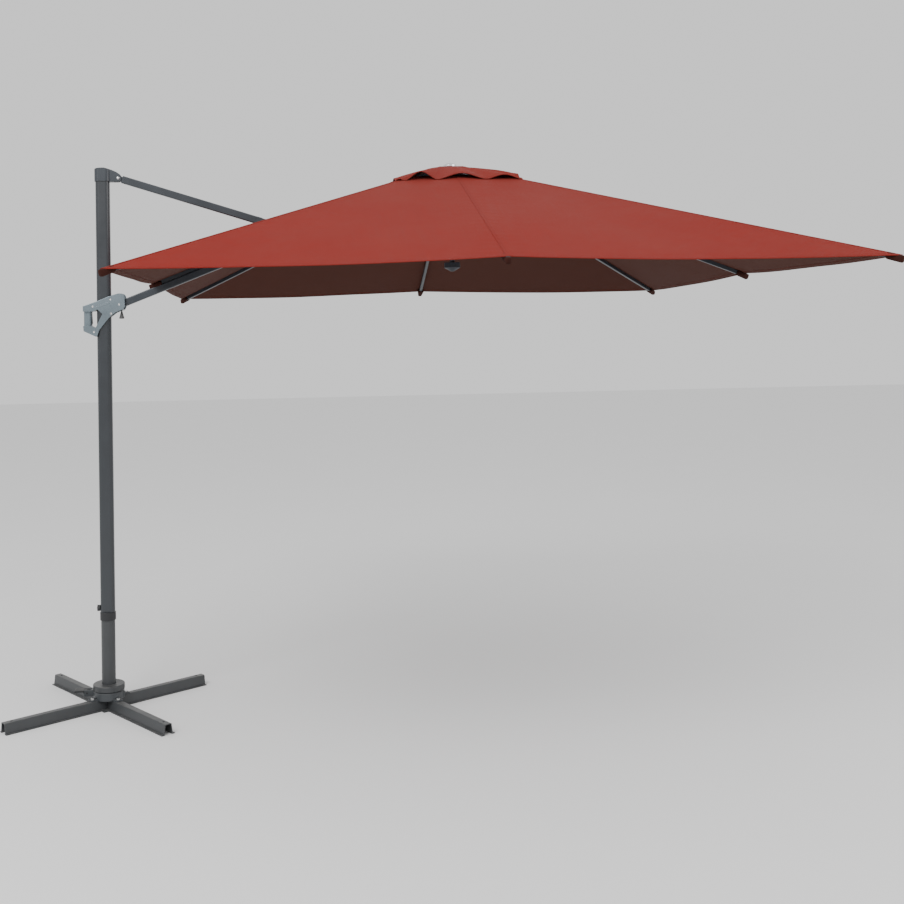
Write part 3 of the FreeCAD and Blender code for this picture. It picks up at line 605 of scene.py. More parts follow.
class FinishBook:
    """Every finish of the umbrella, built once."""

    RECIPES: dict[FinishName, Finish] = {
        FinishName.FRAME: CoatedMetal("anthracite_coat", (0.024, 0.030, 0.038), 0.36,
                                      coat=0.15, wear=0.2, dust=0.1),
        FinishName.MAST: CoatedMetal("anthracite_mast_coat", (0.022, 0.026, 0.031), 0.34,
                                     coat=0.2, wear=0.2, dust=0.1),
        FinishName.SLEEVE: BareMetal("drawn_steel", (0.45, 0.45, 0.45), 0.35),
        FinishName.BASE: CoatedMetal("grey_base_paint", (0.040, 0.043, 0.046), 0.40, wear=0.3, dust=0.2),
        FinishName.HOUSING: CoatedMetal("grey_casting", (0.044, 0.049, 0.054), 0.42,
                                        grain_size=0.002, grain_depth=0.3, dust=0.15),
        FinishName.DARK: MouldedPlastic("black_plastic", (0.014, 0.015, 0.017), 0.45, dust=0.1),
        FinishName.GRIP: MouldedPlastic("grey_knob_plastic", (0.085, 0.085, 0.085), 0.42, dust=0.1),
        FinishName.POLE: CoatedMetal("grey_pole_coat", (0.075, 0.09, 0.11), 0.35, wear=0.2),
        FinishName.CAP: MouldedPlastic("grey_cap_plastic", (0.014, 0.017, 0.025), 0.45, dust=0.1),
        FinishName.BRACKET: CoatedMetal("silver_lacquer", (0.165, 0.205, 0.232), 0.34,
                                        bare=(0.55, 0.55, 0.55), grain_depth=0.06, wear=0.5,
                                        metallic=0.55, coat=0.3),
        FinishName.FASTENER: BareMetal("zinc_plate", (0.80, 0.80, 0.80), 0.30),
        FinishName.FINIAL: BareMetal("turned_aluminium", (0.75, 0.76, 0.78), 0.22, stretch=(1.0, 1.0, 30.0)),
        FinishName.CANOPY: Polyester("terracotta_polyester", (0.205, 0.0125, 0.0075), 0.66),
        FinishName.SEAM: Polyester("terracotta_seam", (0.205, 0.0115, 0.0065), 0.66, stitched=True),
        # The underside colour is a much darker copy of the canopy red: part coating, part painted shade under the
        # canopy.
        FinishName.UNDERSIDE_COAT_AND_PAINTED_SHADE: Polyester("terracotta_underside_coat_and_painted_shade", (0.055, 0.016, 0.010), 0.75,
                                     faded=(0.060, 0.022, 0.014)),
        FinishName.TRIM: Polyester("dark_pocket_cloth", (0.034, 0.010, 0.007), 0.75, fade=0.0, thread=0.002),
        FinishName.FLOOR: Ground("pale_floor", (0.86, 0.86, 0.86), 0.9),
    }

    def __init__(self) -> None:
        """Builds the materials."""
        effects = SharedEffects()
        self.made = {name: recipe.build(effects) for name, recipe in self.RECIPES.items()}

    def __getitem__(self, name: FinishName) -> bpy.types.Material:
        """Gives a finish's material."""
        return self.made[name]


# ---------------------------------------------------------------- mesh helpers


class Maker:
    """Turns bmeshes into finished pieces on their bodies."""

    def __init__(self, finishes: FinishBook) -> None:
        """Keeps the finishes.

        Args:
            finishes: The umbrella's finishes.
        """
        self.finishes = finishes

    def piece(self, name: str, shape: bmesh.types.BMesh, finish: FinishName, body: str,
              slot: FinishName | None = None, smooth: bool = True) -> bpy.types.Object:
        """Makes an object from a bmesh and lets it ride on a body.

        Args:
            name: The piece's name.
            shape: Its mesh, in place.
            finish: Its finish.
            body: The body that it rides on.
            slot: Not used.
            smooth: Smooth shading.

        Returns:
            The new object.
        """
        mesh = bpy.data.meshes.new(name)
        shape.to_mesh(mesh)
        shape.free()
        mesh.materials.append(self.finishes[finish])
        if smooth:
            mesh.shade_smooth()
        made = bpy.data.objects.new(name, mesh)
        bpy.context.scene.collection.objects.link(made)
        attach(made, body)
        log.info("%s: %d faces on %s", name, len(mesh.polygons), body)
        return made


def turned(profile: list[tuple[float, float]], steps: int = 32) -> bmesh.types.BMesh:
    """Spins a profile about Z.

    Args:
        profile: Radius and height of each point, from one end on the axis to the other.
        steps: Steps of the full turn.

    Returns:
        The closed shape.
    """
    shape = bmesh.new()
    points = [shape.verts.new((r, 0.0, z)) for r, z in profile]
    edges = [shape.edges.new(pair) for pair in zip(points, points[1:])]
    bmesh.ops.spin(shape, geom=points + edges, cent=(0, 0, 0), axis=(0, 0, 1),
                   angle=math.tau, steps=steps, use_merge=True)
    bmesh.ops.remove_doubles(shape, verts=shape.verts[:], dist=1e-6)
    bmesh.ops.recalc_face_normals(shape, faces=shape.faces[:])
    return shape


def soften(shape: bmesh.types.BMesh, width: float, segments: int = 2, angle: float = 0.5) -> None:
    """Bevels the sharp edges of a shape.

    Args:
        shape: The shape.
        width: Bevel width in metres.
        segments: Bevel segments.
        angle: Smallest edge angle that counts as sharp, in radians.
    """
    sharp = [e for e in shape.edges if e.is_manifold and e.calc_face_angle(0.0) > angle]
    bmesh.ops.bevel(shape, geom=sharp, offset=width, offset_type="OFFSET", segments=segments,
                    affect="EDGES", profile=0.5, material=-1, clamp_overlap=True)


def brick(size: Iterable[float], bevel: float, segments: int = 2) -> bmesh.types.BMesh:
    """Makes a block with rounded edges, centred on the origin.

    Args:
        size: Its three sides.
        bevel: Edge radius.
        segments: Bevel segments.

    Returns:
        The shape.
    """
    shape = bmesh.new()
    bmesh.ops.create_cube(shape, size=1.0)
    bmesh.ops.scale(shape, vec=Vector(size), verts=shape.verts[:])
    soften(shape, bevel, segments)
    return shape


def set_down(shape: bmesh.types.BMesh, matrix: Matrix) -> bmesh.types.BMesh:
    """Moves a shape into place.

    Args:
        shape: The shape.
        matrix: Its place.

    Returns:
        The same shape.
    """
    bmesh.ops.transform(shape, matrix=matrix, verts=shape.verts[:])
    return shape


def aim(where: Vector, direction: Vector) -> Matrix:
    """Places a shape's +Z along a direction.

    Args:
        where: The shape's origin.
        direction: Where its +Z points.

    Returns:
        The matrix.
    """
    return Matrix.Translation(where) @ direction.normalized().to_track_quat("Z", "Y").to_matrix().to_4x4()


def merged(shapes: Iterable[bmesh.types.BMesh]) -> bmesh.types.BMesh:
    """Joins several shapes in one bmesh.

    Args:
        shapes: The shapes, which are freed.

    Returns:
        The joined shape.
    """
    whole = bmesh.new()
    for shape in shapes:
        part = bpy.data.meshes.new("part")
        shape.to_mesh(part)
        shape.free()
        whole.from_mesh(part)
        bpy.data.meshes.remove(part)
    return whole


def laid_grid(across: int, along: int, place: Placing) -> bmesh.types.BMesh:
    """Lays a grid of cloth so that it faces up.

    Args:
        across: Cells across.
        along: Cells along.
        place: Gives a vertex's point and its flat place on the strip, from U and V of -1 to 1.

    Returns:
        The laid grid, with the flat places in its layer "strip".
    """
    shape = bmesh.new()
    bmesh.ops.create_grid(shape, x_segments=across, y_segments=along, size=1.0, calc_uvs=False)
    layer = shape.verts.layers.float_vector.new("strip")
    for vert in shape.verts:
        vert.co, flat = place(vert.co.x, vert.co.y)
        vert[layer] = (*flat, 0.0)
    shape.normal_update()
    if sum(face.normal.z for face in shape.faces) < 0:
        bmesh.ops.reverse_faces(shape, faces=shape.faces[:])
    return shape


# ---------------------------------------------------------------- canopy


class RibKind(Enum):
    """The two kinds of rib under the square canopy."""

    MID = "mid"
    CORNER = "corner"


@dataclass(frozen=True)
class Spoke:
    """One rib of the canopy frame, and the body that carries it."""

    name: str
    azimuth: float
    body: str

    @property
    def kind(self) -> RibKind:
        """Tells whether the rib runs to a corner."""
        return RibKind.CORNER if round(self.azimuth) % 90 else RibKind.MID

    @property
    def outward(self) -> Vector:
        """Gives the level direction along the rib."""
        a = math.radians(self.azimuth)
        return Vector((math.cos(a), math.sin(a), 0.0))

    @property
    def tangent(self) -> Vector:
        """Gives the level direction across the rib."""
        return Vector((-self.outward.y, self.outward.x, 0.0))


SPOKES = (
    Spoke("outer", 0.0, "rib_outer"),
    Spoke("far_outer", 45.0, "rib_far_outer"),
    Spoke("far", 90.0, "rib_far"),
    Spoke("far_inner", 135.0, "rib_far_inner"),
    Spoke("inner", 180.0, "boom"),
    Spoke("near_inner", 225.0, "rib_near_inner"),
    Spoke("near", 270.0, "rib_near"),
    Spoke("near_outer", 315.0, "rib_near_outer"),
)


@dataclass
class CanopyForm:
    """Shape of the stretched cloth over the eight ribs, in metres."""

    axis: Vector = field(default_factory=lambda: box_centre("centre_pole"))
    half: float = 0.0
    pivot_r: float = 0.0
    pivot_z: float = 0.0
    mid_fall: float = 0.0
    corner_fall: float = 0.0
    lift: float = 0.0118
    corner_lift: float = 0.0022
    sag: float = 0.016
    edge_draw: float = 0.014
    pucker: float = 0.0011
    wave: float = 0.0030

    def __post_init__(self) -> None:
        """Works the slopes out from the frame."""
        low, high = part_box("canopy")
        self.half = (high.y - low.y) / 2
        pivot = Vector(joint_record("rib_outer_fold")["pos_m"])
        self.pivot_r = pivot.x - self.axis.x
        self.pivot_z = pivot.z
        self.mid_fall = math.tan(math.radians(90.0 - joint_record("crown_turn")["range_deg"][1]))
        drop = self.pivot_z + self.lift + self.corner_lift - low.z
        self.corner_fall = drop / (self.half * math.sqrt(2) - self.pivot_r)

    def ridge(self, kind: RibKind, half: float) -> float:
        """Gives the cloth's height over a rib.

        Args:
            kind: The rib's kind.
            half: Half side of the square through that point.

        Returns:
            The height.
        """
        if kind is RibKind.MID:
            return self.pivot_z + self.lift - (half - self.pivot_r) * self.mid_fall
        reach = half * math.sqrt(2) - self.pivot_r
        return self.pivot_z + self.lift + self.corner_lift - reach * self.corner_fall

    def height(self, half: float, side: float) -> float:
        """Gives the cloth's height anywhere.

        Args:
            half: Half side of the square through that point.
            side: Place along that square's side, 0 over a mid rib and 1 at a corner.

        Returns:
            The height.
        """
        mid = self.ridge(RibKind.MID, half)
        corner = self.ridge(RibKind.CORNER, half)
        belly = 4.0 * side * (1.0 - side) * (half / self.half) ** 1.3
        return mid + (corner - mid) * side - self.sag * belly

    def point(self, x: float, y: float) -> Vector:
        """Gives a point of the cloth over a place in plan.

        Args:
            x: Place along X from the canopy axis.
            y: Place along Y from the canopy axis.

        Returns:
            The point in the row frame.
        """
        half = max(abs(x), abs(y), 1e-6)
        side = min(abs(x), abs(y)) / half
        z = self.height(half, side)
        loose = 4.0 * side * (1.0 - side)
        z += self.wave * loose * noise.noise(Vector((x * 2.4, y * 2.4, 3.7)))
        seam = min(side, 1.0 - side) * half
        tight = math.exp(-seam / 0.05) * (1.0 - math.exp(-seam / 0.008))
        z += self.pucker * tight * math.sin(half * math.tau / 0.055 + 2.0 * noise.noise(Vector((x, y, 0.0))))
        return Vector((self.axis.x + x, y, z))


@dataclass
class Tailor:
    """Gives laid cloth its thickness, map and shading, and puts it on its rib's body."""

    maker: Maker
    surface: Surface
    axis: Vector
    folded: float
    reach: float = 0.004

    def normal(self, place: Vector) -> Vector:
        """Gives the cloth's upward normal near a point.

        Args:
            place: The point in the row frame.

        Returns:
            The normal.
        """
        x, y, h = place.x - self.axis.x, place.y, self.reach
        along_x = self.surface(x + h, y) - self.surface(x - h, y)
        along_y = self.surface(x, y + h) - self.surface(x, y - h)
        return along_x.cross(along_y).normalized()

    def sew(self, name: str, shape: bmesh.types.BMesh, spoke: Spoke, thickness: float,
            finish: FinishName) -> bpy.types.Object:
        """Makes a cloth piece from a laid grid.

        Args:
            name: The piece's name.
            shape: The laid grid, facing up.
            spoke: The rib that carries it.
            thickness: Cloth thickness.
            finish: Finish of its upper side; the lower side gets the dark underside finish, part coating and part
                painted shade.

        Returns:
            The piece.
        """
        bmesh.ops.solidify(shape, geom=shape.faces[:], thickness=thickness)
        shape.normal_update()
        up = {vert: self.normal(vert.co) for vert in shape.verts}
        layer = shape.loops.layers.uv.new("cloth")
        shading = []
        for face in shape.faces:
            lean = face.normal.dot(up[face.verts[0]])
            # Faces looking down get the dark underside finish, which is partly painted shade.
            face.material_index = 0 if lean > -0.5 else 1
            face.smooth = True
            for loop in face.loops:
                flat = loop.vert.co - self.axis
                loop[layer].uv = (flat.dot(spoke.tangent), flat.dot(spoke.outward))
                sided = up[loop.vert] * (1.0 if lean > 0 else -1.0)
                shading.append(sided if abs(lean) > 0.5 else face.normal.copy())
        piece = self.maker.piece(name, shape, finish, spoke.body, FinishName.CANOPY)
        # Second slot: the dark underside finish, partly painted shade.
        piece.data.materials.append(self.maker.finishes[FinishName.UNDERSIDE_COAT_AND_PAINTED_SHADE])
        piece.data.normals_split_custom_set(shading)
        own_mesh(piece)
        return piece


@dataclass
class Canopy:
    """The big cloth: eight panels that meet without a break, with seams, hems and pockets."""

    maker: Maker
    form: CanopyForm
    vent_half: float = 0.215
    split: float = 0.5
    across: int = 32
    along: int = 56
    cloth: float = 0.0011
    hem_width: float = 0.024
    hem_cloth: float = 0.0030
    hem_lift: float = 0.0008
    hem_over: float = 0.0012
    seam_width: float = 0.016
    seam_cloth: float = 0.0012
    seam_lift: float = 0.0009
    slot_half: float = 0.030
    slot_back: float = 0.125
    slot_front: float = 0.160
    folded: float = 0.12
    mid_slope: float = 1.09
    corner_slope: float = 1.06
    corner_width: float = 0.74
    pocket_size: tuple[float, float, float] = (0.066, 0.027, 0.028)
    pocket_taper: float = 0.20
    pocket_flare: float = 0.5
    pocket_mouth: float = 0.031
    pocket_drop: float = 0.0155
    pocket_back_mid: float = 0.018
    pocket_back_corner: float = 0.025

    def plan(self, spoke: Spoke, u: float, half: float) -> tuple[float, float]:
        """Places a point of a panel in plan.

        Args:
            spoke: The panel's rib.
            u: Place across the panel, -1 to 1.
            half: Half side of the square through the point.

        Returns:
            X and Y from the canopy axis.
        """
        if spoke.kind is RibKind.MID:
            out, across = half, self.split * u * half
            turn = math.radians(spoke.azimuth)
        else:
            side = 1.0 - abs(u) * (1.0 - self.split)
            out, across = (half, -side * half) if u < 0 else (side * half, -half)
            turn = math.radians(spoke.azimuth + 45.0)
        x = out * math.cos(turn) - across * math.sin(turn)
        y = out * math.sin(turn) + across * math.cos(turn)
        return x, y

    def edge_half(self, half: float, u: float, kind: RibKind) -> float:
        """Draws the rim in a little between two ribs.

        Args:
            half: Half side of the square.
            u: Place across the panel, -1 to 1.
            kind: The panel's kind of rib.

        Returns:
            The half side with the rim drawn in.
        """
        side = self.split * abs(u) if kind is RibKind.MID else 1.0 - abs(u) * (1.0 - self.split)
        share = max(0.0, (half - self.vent_half) / (self.form.half - self.vent_half)) ** 4
        return half - self.form.edge_draw * 4.0 * side * (1.0 - side) * share

    def strip(self, spoke: Spoke, inner: float, outer: float, across: int, along: int,
              lift: float, width: float | None = None) -> bmesh.types.BMesh:
        """Lays a grid on the cloth between two squares.

        Args:
            spoke: The rib in its middle.
            inner: Half side where it starts.
            outer: Half side where it ends.
            across: Cells across.
            along: Cells along.
            lift: Height above the cloth.
            width: Width of a narrow strip over the rib, or None for the whole panel.

        Returns:
            The laid grid.
        """
        corner = spoke.kind is RibKind.CORNER

        def place(u: float, v: float) -> tuple[Vector, tuple[float, float]]:
            """Places one vertex of the grid."""
            half = inner + (outer - inner) * (v + 1.0) / 2.0
            scale = 1.0
            flat = (v * (outer - inner) / 2.0, u * half / 2.0)
            if width is not None:
                full = (1.0 - self.split) * half * math.sqrt(0.5) if corner else self.split * half
                scale = min(1.0, width / 2 / full)
                flat = (u * width / 2.0, half * (math.sqrt(2) if corner else 1.0))
            x, y = self.plan(spoke, u * scale, self.edge_half(half, u * scale, spoke.kind))
            return self.form.point(x, y) + Vector((0.0, 0.0, lift)), flat

        return laid_grid(across, along, place)

    def cut_slot(self, shape: bmesh.types.BMesh) -> None:
        """Opens the cloth for the arm.

        Args:
            shape: The panel over the boom.
        """
        joint = Vector(joint_record("boom_fold")["pos_m"])
        cosine = math.cos(math.atan(self.form.mid_fall))
        start = joint.x - self.slot_back * cosine
        end = joint.x + self.slot_front * cosine
        planes = (((start, 0, 0), (1, 0, 0)), ((end, 0, 0), (1, 0, 0)),
                  ((0, self.slot_half, 0), (0, 1, 0)), ((0, -self.slot_half, 0), (0, 1, 0)))
        for place, across in planes:
            bmesh.ops.bisect_plane(shape, geom=shape.verts[:] + shape.edges[:] + shape.faces[:],
                                   plane_co=place, plane_no=across, dist=1e-5)
        middles = {face: face.calc_center_median() for face in shape.faces}
        inside = [f for f, middle in middles.items()
                  if start < middle.x < end and abs(middle.y) < self.slot_half]
        bmesh.ops.delete(shape, geom=inside, context="FACES")

    def panel(self, spoke: Spoke) -> bpy.types.Object:
        """Builds one panel with its hem and seam.

        Args:
            spoke: The panel's rib.

        Returns:
            The panel.
        """
        tailor = Tailor(self.maker, self.form.point, self.form.axis, self.folded)
        rim = self.form.half
        shape = self.strip(spoke, self.vent_half, rim, self.across, self.along, 0.0)
        if spoke.azimuth == 180.0:
            self.cut_slot(shape)
        area = sum(f.calc_area() for f in shape.faces)
        cloth = tailor.sew(f"canopy_panel_{spoke.name}", shape, spoke, self.cloth, FinishName.CANOPY)
        shape = self.strip(spoke, rim - self.hem_width, rim + self.hem_over, self.across, 4,
                           self.hem_lift)
        hem = tailor.sew(f"canopy_hem_{spoke.name}", shape, spoke, self.hem_cloth, FinishName.SEAM)
        shape = self.strip(spoke, self.vent_half, rim - self.hem_width, 4, 96, self.seam_lift,
                           self.seam_width)
        if spoke.azimuth == 180.0:
            self.cut_slot(shape)
        seam = tailor.sew(f"canopy_seam_{spoke.name}", shape, spoke, self.seam_cloth, FinishName.SEAM)
        return cloth

    def pocket(self, spoke: Spoke) -> None:
        """Builds the reinforced pocket on a rib's tip.

        Args:
            spoke: The rib.
        """
        corner = spoke.kind is RibKind.CORNER
        reach = self.form.half * (math.sqrt(2) if corner else 1.0)
        fall = math.atan(self.form.corner_fall if corner else self.form.mid_fall)
        ridge = self.form.ridge(spoke.kind, self.form.half)
        shape = brick(self.pocket_size, 0.008, 3)
        for vert in shape.verts:
            nose = max(0.0, vert.co.x / (self.pocket_size[0] / 2))
            mouth = max(0.0, -vert.co.x / self.pocket_mouth)
            vert.co.y *= 1.0 - self.pocket_taper * nose ** 2 + self.pocket_flare * mouth
            vert.co.z += 0.004 * noise.noise(vert.co * 60.0)
        layer = shape.loops.layers.uv.new("cloth")
        for face in shape.faces:
            for loop in face.loops:
                loop[layer].uv = (loop.vert.co.y, loop.vert.co.x)
        turn = Euler((0.0, fall, math.radians(spoke.azimuth))).to_matrix().to_4x4()
        middle = self.form.axis.copy()
        back = self.pocket_back_corner if corner else self.pocket_back_mid
        middle += spoke.outward * (reach - back)
        middle.z = ridge - self.pocket_drop + back * math.tan(fall)
        set_down(shape, Matrix.Translation(middle) @ turn)
        self.maker.piece(f"rib_pocket_{spoke.name}", shape, FinishName.TRIM, spoke.body, FinishName.CANOPY)

    def build(self) -> None:
        """Builds every panel and stands them in for the CAD cloth."""
        for spoke in SPOKES:
            panel = self.panel(spoke)
            self.pocket(spoke)
            if spoke.azimuth == 0.0:
                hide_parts("canopy")


@dataclass
class VentCap:
    """The small canopy over the vent, tied down at points so that its hem arches between them."""

    maker: Maker
    form: CanopyForm
    half: float = 0.306
    top_half: float = 0.058
    top_z: float = 0.0
    split: float = 0.42
    ties: tuple[float, ...] = (-1.0, -0.86, -0.34, 0.44, 1.0)
    arches: tuple[float, ...] = (0.010, 0.042, 0.026, 0.022)
    gap: float = 0.003
    puff: float = 0.010
    cloth: float = 0.0011
    hem_width: float = 0.014
    hem_cloth: float = 0.0026
    hem_lift: float = 0.0007
    hem_over: float = 0.001
    patch_cloth: float = 0.0016
    patch_lift: float = 0.0012
    patch_over: float = 0.012
    folded: float = 0.2

    def __post_init__(self) -> None:
        """Sets the cap's top just over the hub."""
        self.top_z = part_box("hub")[1].z + 0.0045

    def arch(self, along: float) -> float:
        """Gives how far the hem stands off the canopy.

        Args:
            along: Place along the square's side, -1 to 1.

        Returns:
            The height above the canopy.
        """
        for start, end, rise in zip(self.ties, self.ties[1:], self.arches):
            if along <= end:
                return rise * math.sin(math.pi * (along - start) / (end - start)) ** 1.6
        return 0.0

    def point(self, x: float, y: float) -> Vector:
        """Gives a point of the cap over a place in plan.

        Args:
            x: Place along X from the canopy axis.
            y: Place along Y from the canopy axis.

        Returns:
            The point in the row frame.
        """
        half = max(abs(x), abs(y), 1e-6)
        side = min(abs(x), abs(y)) / half
        if abs(y) >= abs(x):
            along = x / half if y < 0 else -x / half
        else:
            along = y / half if x > 0 else -y / half
        share = min(1.0, max(0.0, (half - self.top_half) / (self.half - self.top_half)))
        hem = self.form.height(self.half, side) + self.gap + self.arch(max(-1.0, min(1.0, along)))
        z = self.top_z + (hem - self.top_z) * share
        z += self.puff * math.sin(math.pi * share) * (1.0 - 0.7 * side)
        z += 0.0030 * share * noise.noise(Vector((x * 11.0, y * 11.0, 1.3)))
        return Vector((self.form.axis.x + x, y, z))

    def lay(self, canopy: Canopy, spoke: Spoke, inner: float, outer: float,
            across: int, along: int, lift: float) -> bmesh.types.BMesh:
        """Lays a grid on the cap.

        Args:
            canopy: Gives the plan of the panels.
            spoke: The rib in its middle.
            inner: Half side where it starts.
            outer: Half side where it ends.
            across: Cells across.
            along: Cells along.
            lift: Height above the cap.

        Returns:
            The laid grid.
        """
        def place(u: float, v: float) -> tuple[Vector, tuple[float, float]]:
            """Places one vertex of the grid."""
            half = inner + (outer - inner) * (v + 1.0) / 2.0
            x, y = canopy.plan(spoke, u, half)
            flat = (v * (outer - inner) / 2.0, u * half / 2.0)
            return self.point(x, y) + Vector((0.0, 0.0, lift)), flat

        return laid_grid(across, along, place)

    def panel(self, canopy: Canopy, tailor: Tailor, spoke: Spoke) -> None:
        """Builds one panel of the cap with its bound edge.

        Args:
            canopy: Gives the plan of the panels.
            tailor: Makes the cloth pieces.
            spoke: The panel's rib.
        """
        shape = self.lay(canopy, spoke, self.top_half, self.half, 28, 20, 0.0)
        area = sum(f.calc_area() for f in shape.faces)
        cloth = tailor.sew(f"vent_cap_panel_{spoke.name}", shape, spoke, self.cloth, FinishName.CANOPY)
        shape = self.lay(canopy, spoke, self.half - self.hem_width, self.half + self.hem_over, 28, 4,
                         self.hem_lift)
        edge = tailor.sew(f"vent_cap_hem_{spoke.name}", shape, spoke, self.hem_cloth, FinishName.SEAM)
        if spoke.azimuth == 0.0:
            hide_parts("vent_cap")

    def crown(self, tailor: Tailor) -> None:
        """Builds the doubled patch under the finial.

        Args:
            tailor: Makes the cloth pieces.
        """
        reach = self.top_half + self.patch_over
        shape = bmesh.new()
        bmesh.ops.create_grid(shape, x_segments=12, y_segments=12, size=reach, calc_uvs=False)
        for vert in shape.verts:
            vert.co = self.point(vert.co.x, vert.co.y) + Vector((0.0, 0.0, self.patch_lift))
        spoke = Spoke("top", 0.0, "crown")
        patch = tailor.sew("vent_cap_patch", shape, spoke, self.patch_cloth, FinishName.CANOPY)

    def build(self) -> None:
        """Builds the cap's panels and its crown patch."""
        canopy = Canopy(self.maker, self.form, split=self.split)
        tailor = Tailor(self.maker, self.point, self.form.axis, self.folded)
        for spoke in SPOKES:
            self.panel(canopy, tailor, spoke)
        self.crown(tailor)


# ---------------------------------------------------------------- small hardware


@dataclass
class BracketScrews:
    """Socket screws in the side plates of the sliding bracket."""

    maker: Maker
    head_r: float = 0.0048
    head_h: float = 0.0030
    socket_r: float = 0.0026
    socket_depth: float = 0.0018

    def screw(self) -> bmesh.types.BMesh:
        """Makes one screw head with its hexagon socket.

        Returns:
            The screw, its head up +Z from the origin.
        """
        shape = bmesh.new()
        bmesh.ops.create_cone(shape, cap_ends=True, segments=24, radius1=self.head_r, radius2=self.head_r,
                              depth=self.head_h)
        top = max(shape.faces, key=lambda f: f.calc_center_median().z)
        bmesh.ops.inset_region(shape, faces=[top], thickness=self.head_r - self.socket_r)
        sunk = bmesh.ops.extrude_face_region(shape, geom=[top])
        moved = [v for v in sunk["geom"] if isinstance(v, bmesh.types.BMVert)]
        bmesh.ops.translate(shape, vec=(0, 0, -self.socket_depth), verts=moved)
        bmesh.ops.delete(shape, geom=[top], context="FACES_ONLY")
        soften(shape, 0.0004, 2)
        bmesh.ops.recalc_face_normals(shape, faces=shape.faces[:])
        return shape

    def build(self) -> None:
        """Builds every screw where the frame has one."""
        node = frame["nodes"]["slider_screws"]
        outer = max(abs(v.co.y) for v in node.data.vertices)
        shapes = []
        for middle in self.islands(node):
            side = 1.0 if middle.y > 0 else -1.0
            place = Vector((middle.x, side * (outer - self.head_h / 2 - SCREW_PROUD), middle.z))
            shapes.append(set_down(self.screw(), aim(place, Vector((0.0, side, 0.0)))))
        piece = self.maker.piece("bracket_screws", merged(shapes), FinishName.FASTENER, "slider",
                                 smooth=False)
        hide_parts("slider_screws")

    @staticmethod
    def islands(node: bpy.types.Object) -> list[Vector]:
        """Finds the middle of each separate solid of a node.

        Args:
            node: The CAD node.

        Returns:
            The middles.
        """
        copy = bmesh.new()
        copy.from_mesh(node.data)
        bmesh.ops.remove_doubles(copy, verts=copy.verts[:], dist=1e-5)
        left = set(copy.verts)
        middles = []
        while left:
            todo = [left.pop()]
            found = list(todo)
            while todo:
                for edge in todo.pop().link_edges:
                    for vert in edge.verts:
                        if vert in left:
                            left.discard(vert)
                            todo.append(vert)
                            found.append(vert)
            low = Vector(tuple(min(v.co[i] for v in found) for i in range(3)))
            high = Vector(tuple(max(v.co[i] for v in found) for i in range(3)))
            middles.append((low + high) / 2)
        copy.free()
        return sorted(middles, key=lambda p: (p.y, p.z, p.x))


@dataclass
class PivotCaps:
    """Domed caps on the ends of the arm's pins."""

    maker: Maker
    radius: float = 0.0070
    height: float = 0.0040

    def cap(self) -> bmesh.types.BMesh:
        """Makes one domed cap.

        Returns:
            The cap, its dome up +Z from the origin.
        """
        r, h = self.radius, self.height
        profile = [(0.0, 0.0), (r, 0.0), (r, h * 0.35), (r * 0.92, h * 0.7), (r * 0.6, h * 0.95), (0.0, h)]
        return turned(profile, 28)

    def build(self) -> None:
        """Puts a cap on both ends of each pin."""
        for pin, body in (("head_pin", "mast"), ("arm_pin", "strut"), ("hub_pin", "boom")):
            low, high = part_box(pin)
            middle = box_centre(pin)
            shapes = []
            for side, y in ((-1.0, low.y), (1.0, high.y)):
                place = Vector((middle.x, y - side * CAP_OVERLAP, middle.z))
                shapes.append(set_down(self.cap(), aim(place, Vector((0.0, side, 0.0)))))
            self.maker.piece(f"{pin}_caps", merged(shapes), FinishName.FASTENER, body)


class ArmKnob:
    """The pull knob under the bracket, a cone on a round stem."""

    def __init__(self, maker: Maker) -> None:
        """Keeps the maker.

        Args:
            maker: Makes the piece.
        """
        self.maker = maker

    def build(self) -> None:
        """Builds the knob where the frame has one."""
        low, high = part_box("arm_knob")
        middle = box_centre("arm_knob")
        rim = (high.x - low.x) / 2
        tall = high.z - low.z
        profile = [
            (0.0, 0.0), (rim * 0.75, 0.0), (rim * 0.96, 0.0015), (rim, 0.004), (rim * 0.97, 0.0075),
            (rim * 0.84, 0.0105), (rim * 0.62, 0.020), (rim * 0.44, 0.030), (STEM_RADIUS, 0.0345),
            (STEM_RADIUS, tall), (0.0, tall),
        ]
        shape = set_down(turned(profile, 32), Matrix.Translation((middle.x, middle.y, low.z)))
        knob = self.maker.piece("arm_knob_cone", shape, FinishName.GRIP, "arm_lock", FinishName.DARK)
        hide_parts("arm_knob")


# ---------------------------------------------------------------- dressing the frame


class FrameDresser:
    """Gives every CAD node its finish."""

    def __init__(self, finishes: FinishBook) -> None:
        """Keeps the finishes.

        Args:
            finishes: The umbrella's finishes.
        """
        self.finishes = finishes

    def build(self) -> None:
        """Dresses each node by its slot in the record."""
        for part in frame["record"]["subparts"]:
            node = frame["nodes"][part["node"]]
            material = self.finishes[FinishName(part["material_slot"])]
            node.data.materials.clear()
            node.data.materials.append(material)
            log.info("%s: %s", node.name, material.name)


# ---------------------------------------------------------------- stage


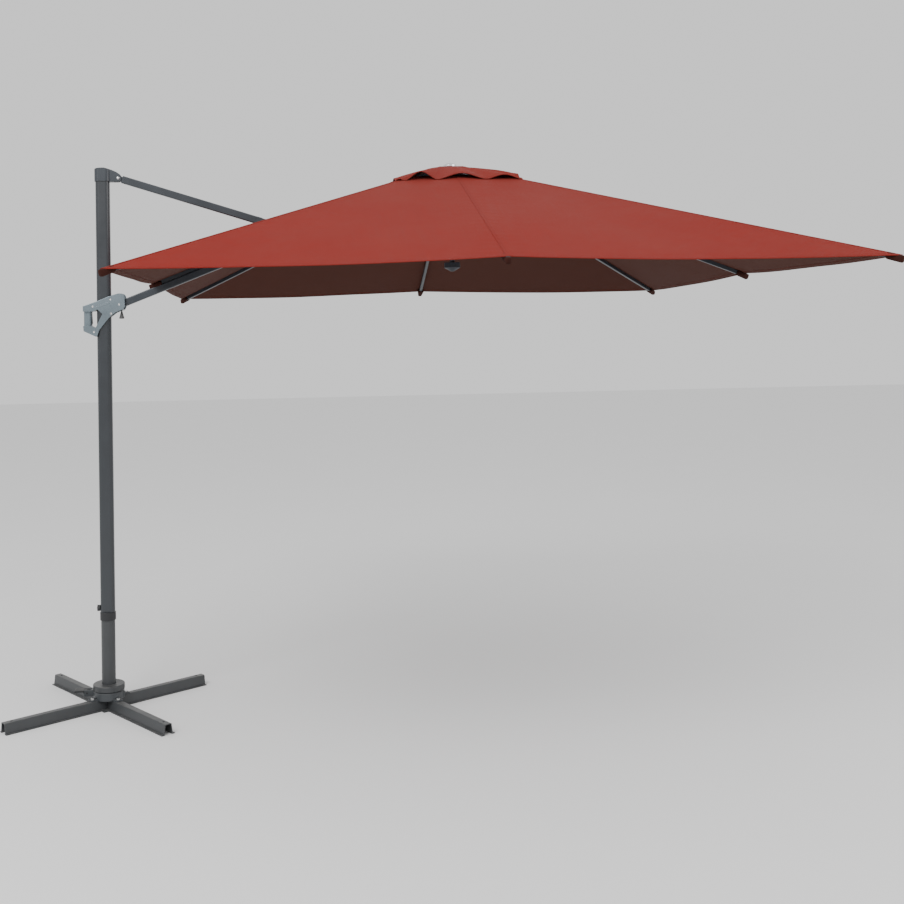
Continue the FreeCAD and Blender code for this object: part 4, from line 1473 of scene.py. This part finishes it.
@dataclass
class Studio:
    """Pale floor, soft light and the camera."""

    finishes: FinishBook
    camera_place: Vector = field(default_factory=lambda: Vector((0.9445, -5.709, 1.777)))
    yaw: float = -2.69
    pitch: float = 2.0
    roll: float = -1.16
    lens: float = 45.4
    shift: tuple[float, float] = (0.115, -0.168)
    sky: float = 0.95
    target: Vector = field(default_factory=lambda: Vector((1.2, 0.0, 1.8)))

    def floor(self) -> None:
        """Lays the floor."""
        shape = bmesh.new()
        bmesh.ops.create_grid(shape, x_segments=2, y_segments=2, size=30.0)
        mesh = bpy.data.meshes.new("floor")
        shape.to_mesh(mesh)
        shape.free()
        mesh.materials.append(self.finishes[FinishName.FLOOR])
        made = bpy.data.objects.new("floor", mesh)
        bpy.context.scene.collection.objects.link(made)

    def lights(self) -> None:
        """Hangs the soft lights and sets the sky."""
        world = bpy.data.worlds.new("studio")
        world.use_nodes = True
        back = world.node_tree.nodes["Background"]
        back.inputs["Color"].default_value = (1.0, 1.0, 1.0, 1.0)
        back.inputs["Strength"].default_value = self.sky
        bpy.context.scene.world = world
        for name, place, size, power in (
            ("key", (-2.5, -5.0, 6.5), 4.0, 420.0),
            ("fill", (6.0, -3.0, 4.0), 4.0, 120.0),
        ):
            lamp = bpy.data.lights.new(name, "AREA")
            lamp.size = size
            lamp.energy = power
            made = bpy.data.objects.new(name, lamp)
            made.location = place
            made.rotation_euler = (self.target - Vector(place)).to_track_quat("-Z", "Y").to_euler()
            bpy.context.scene.collection.objects.link(made)

    def camera(self) -> None:
        """Sets up the camera."""
        lens = bpy.data.cameras.new("view")
        lens.lens = self.lens
        lens.sensor_width = 36.0
        lens.shift_x, lens.shift_y = self.shift
        made = bpy.data.objects.new("view", lens)
        bpy.context.scene.collection.objects.link(made)
        look = Matrix.Rotation(math.radians(self.yaw), 4, "Z")
        look = look @ Matrix.Rotation(math.radians(90.0 + self.pitch), 4, "X")
        look = look @ Matrix.Rotation(math.radians(self.roll), 4, "Z")
        made.matrix_world = Matrix.Translation(self.camera_place) @ look
        bpy.context.scene.camera = made

    def build(self) -> None:
        """Builds the whole stage."""
        self.floor()
        self.lights()
        self.camera()


def main() -> None:
    """Builds the umbrella's looks."""
    finishes = FinishBook()
    maker = Maker(finishes)
    FrameDresser(finishes).build()
    form = CanopyForm()
    Canopy(maker, form).build()
    VentCap(maker, form).build()
    BracketScrews(maker).build()
    PivotCaps(maker).build()
    ArmKnob(maker).build()
    Studio(finishes).build()


if __name__ == "__main__":
    main()
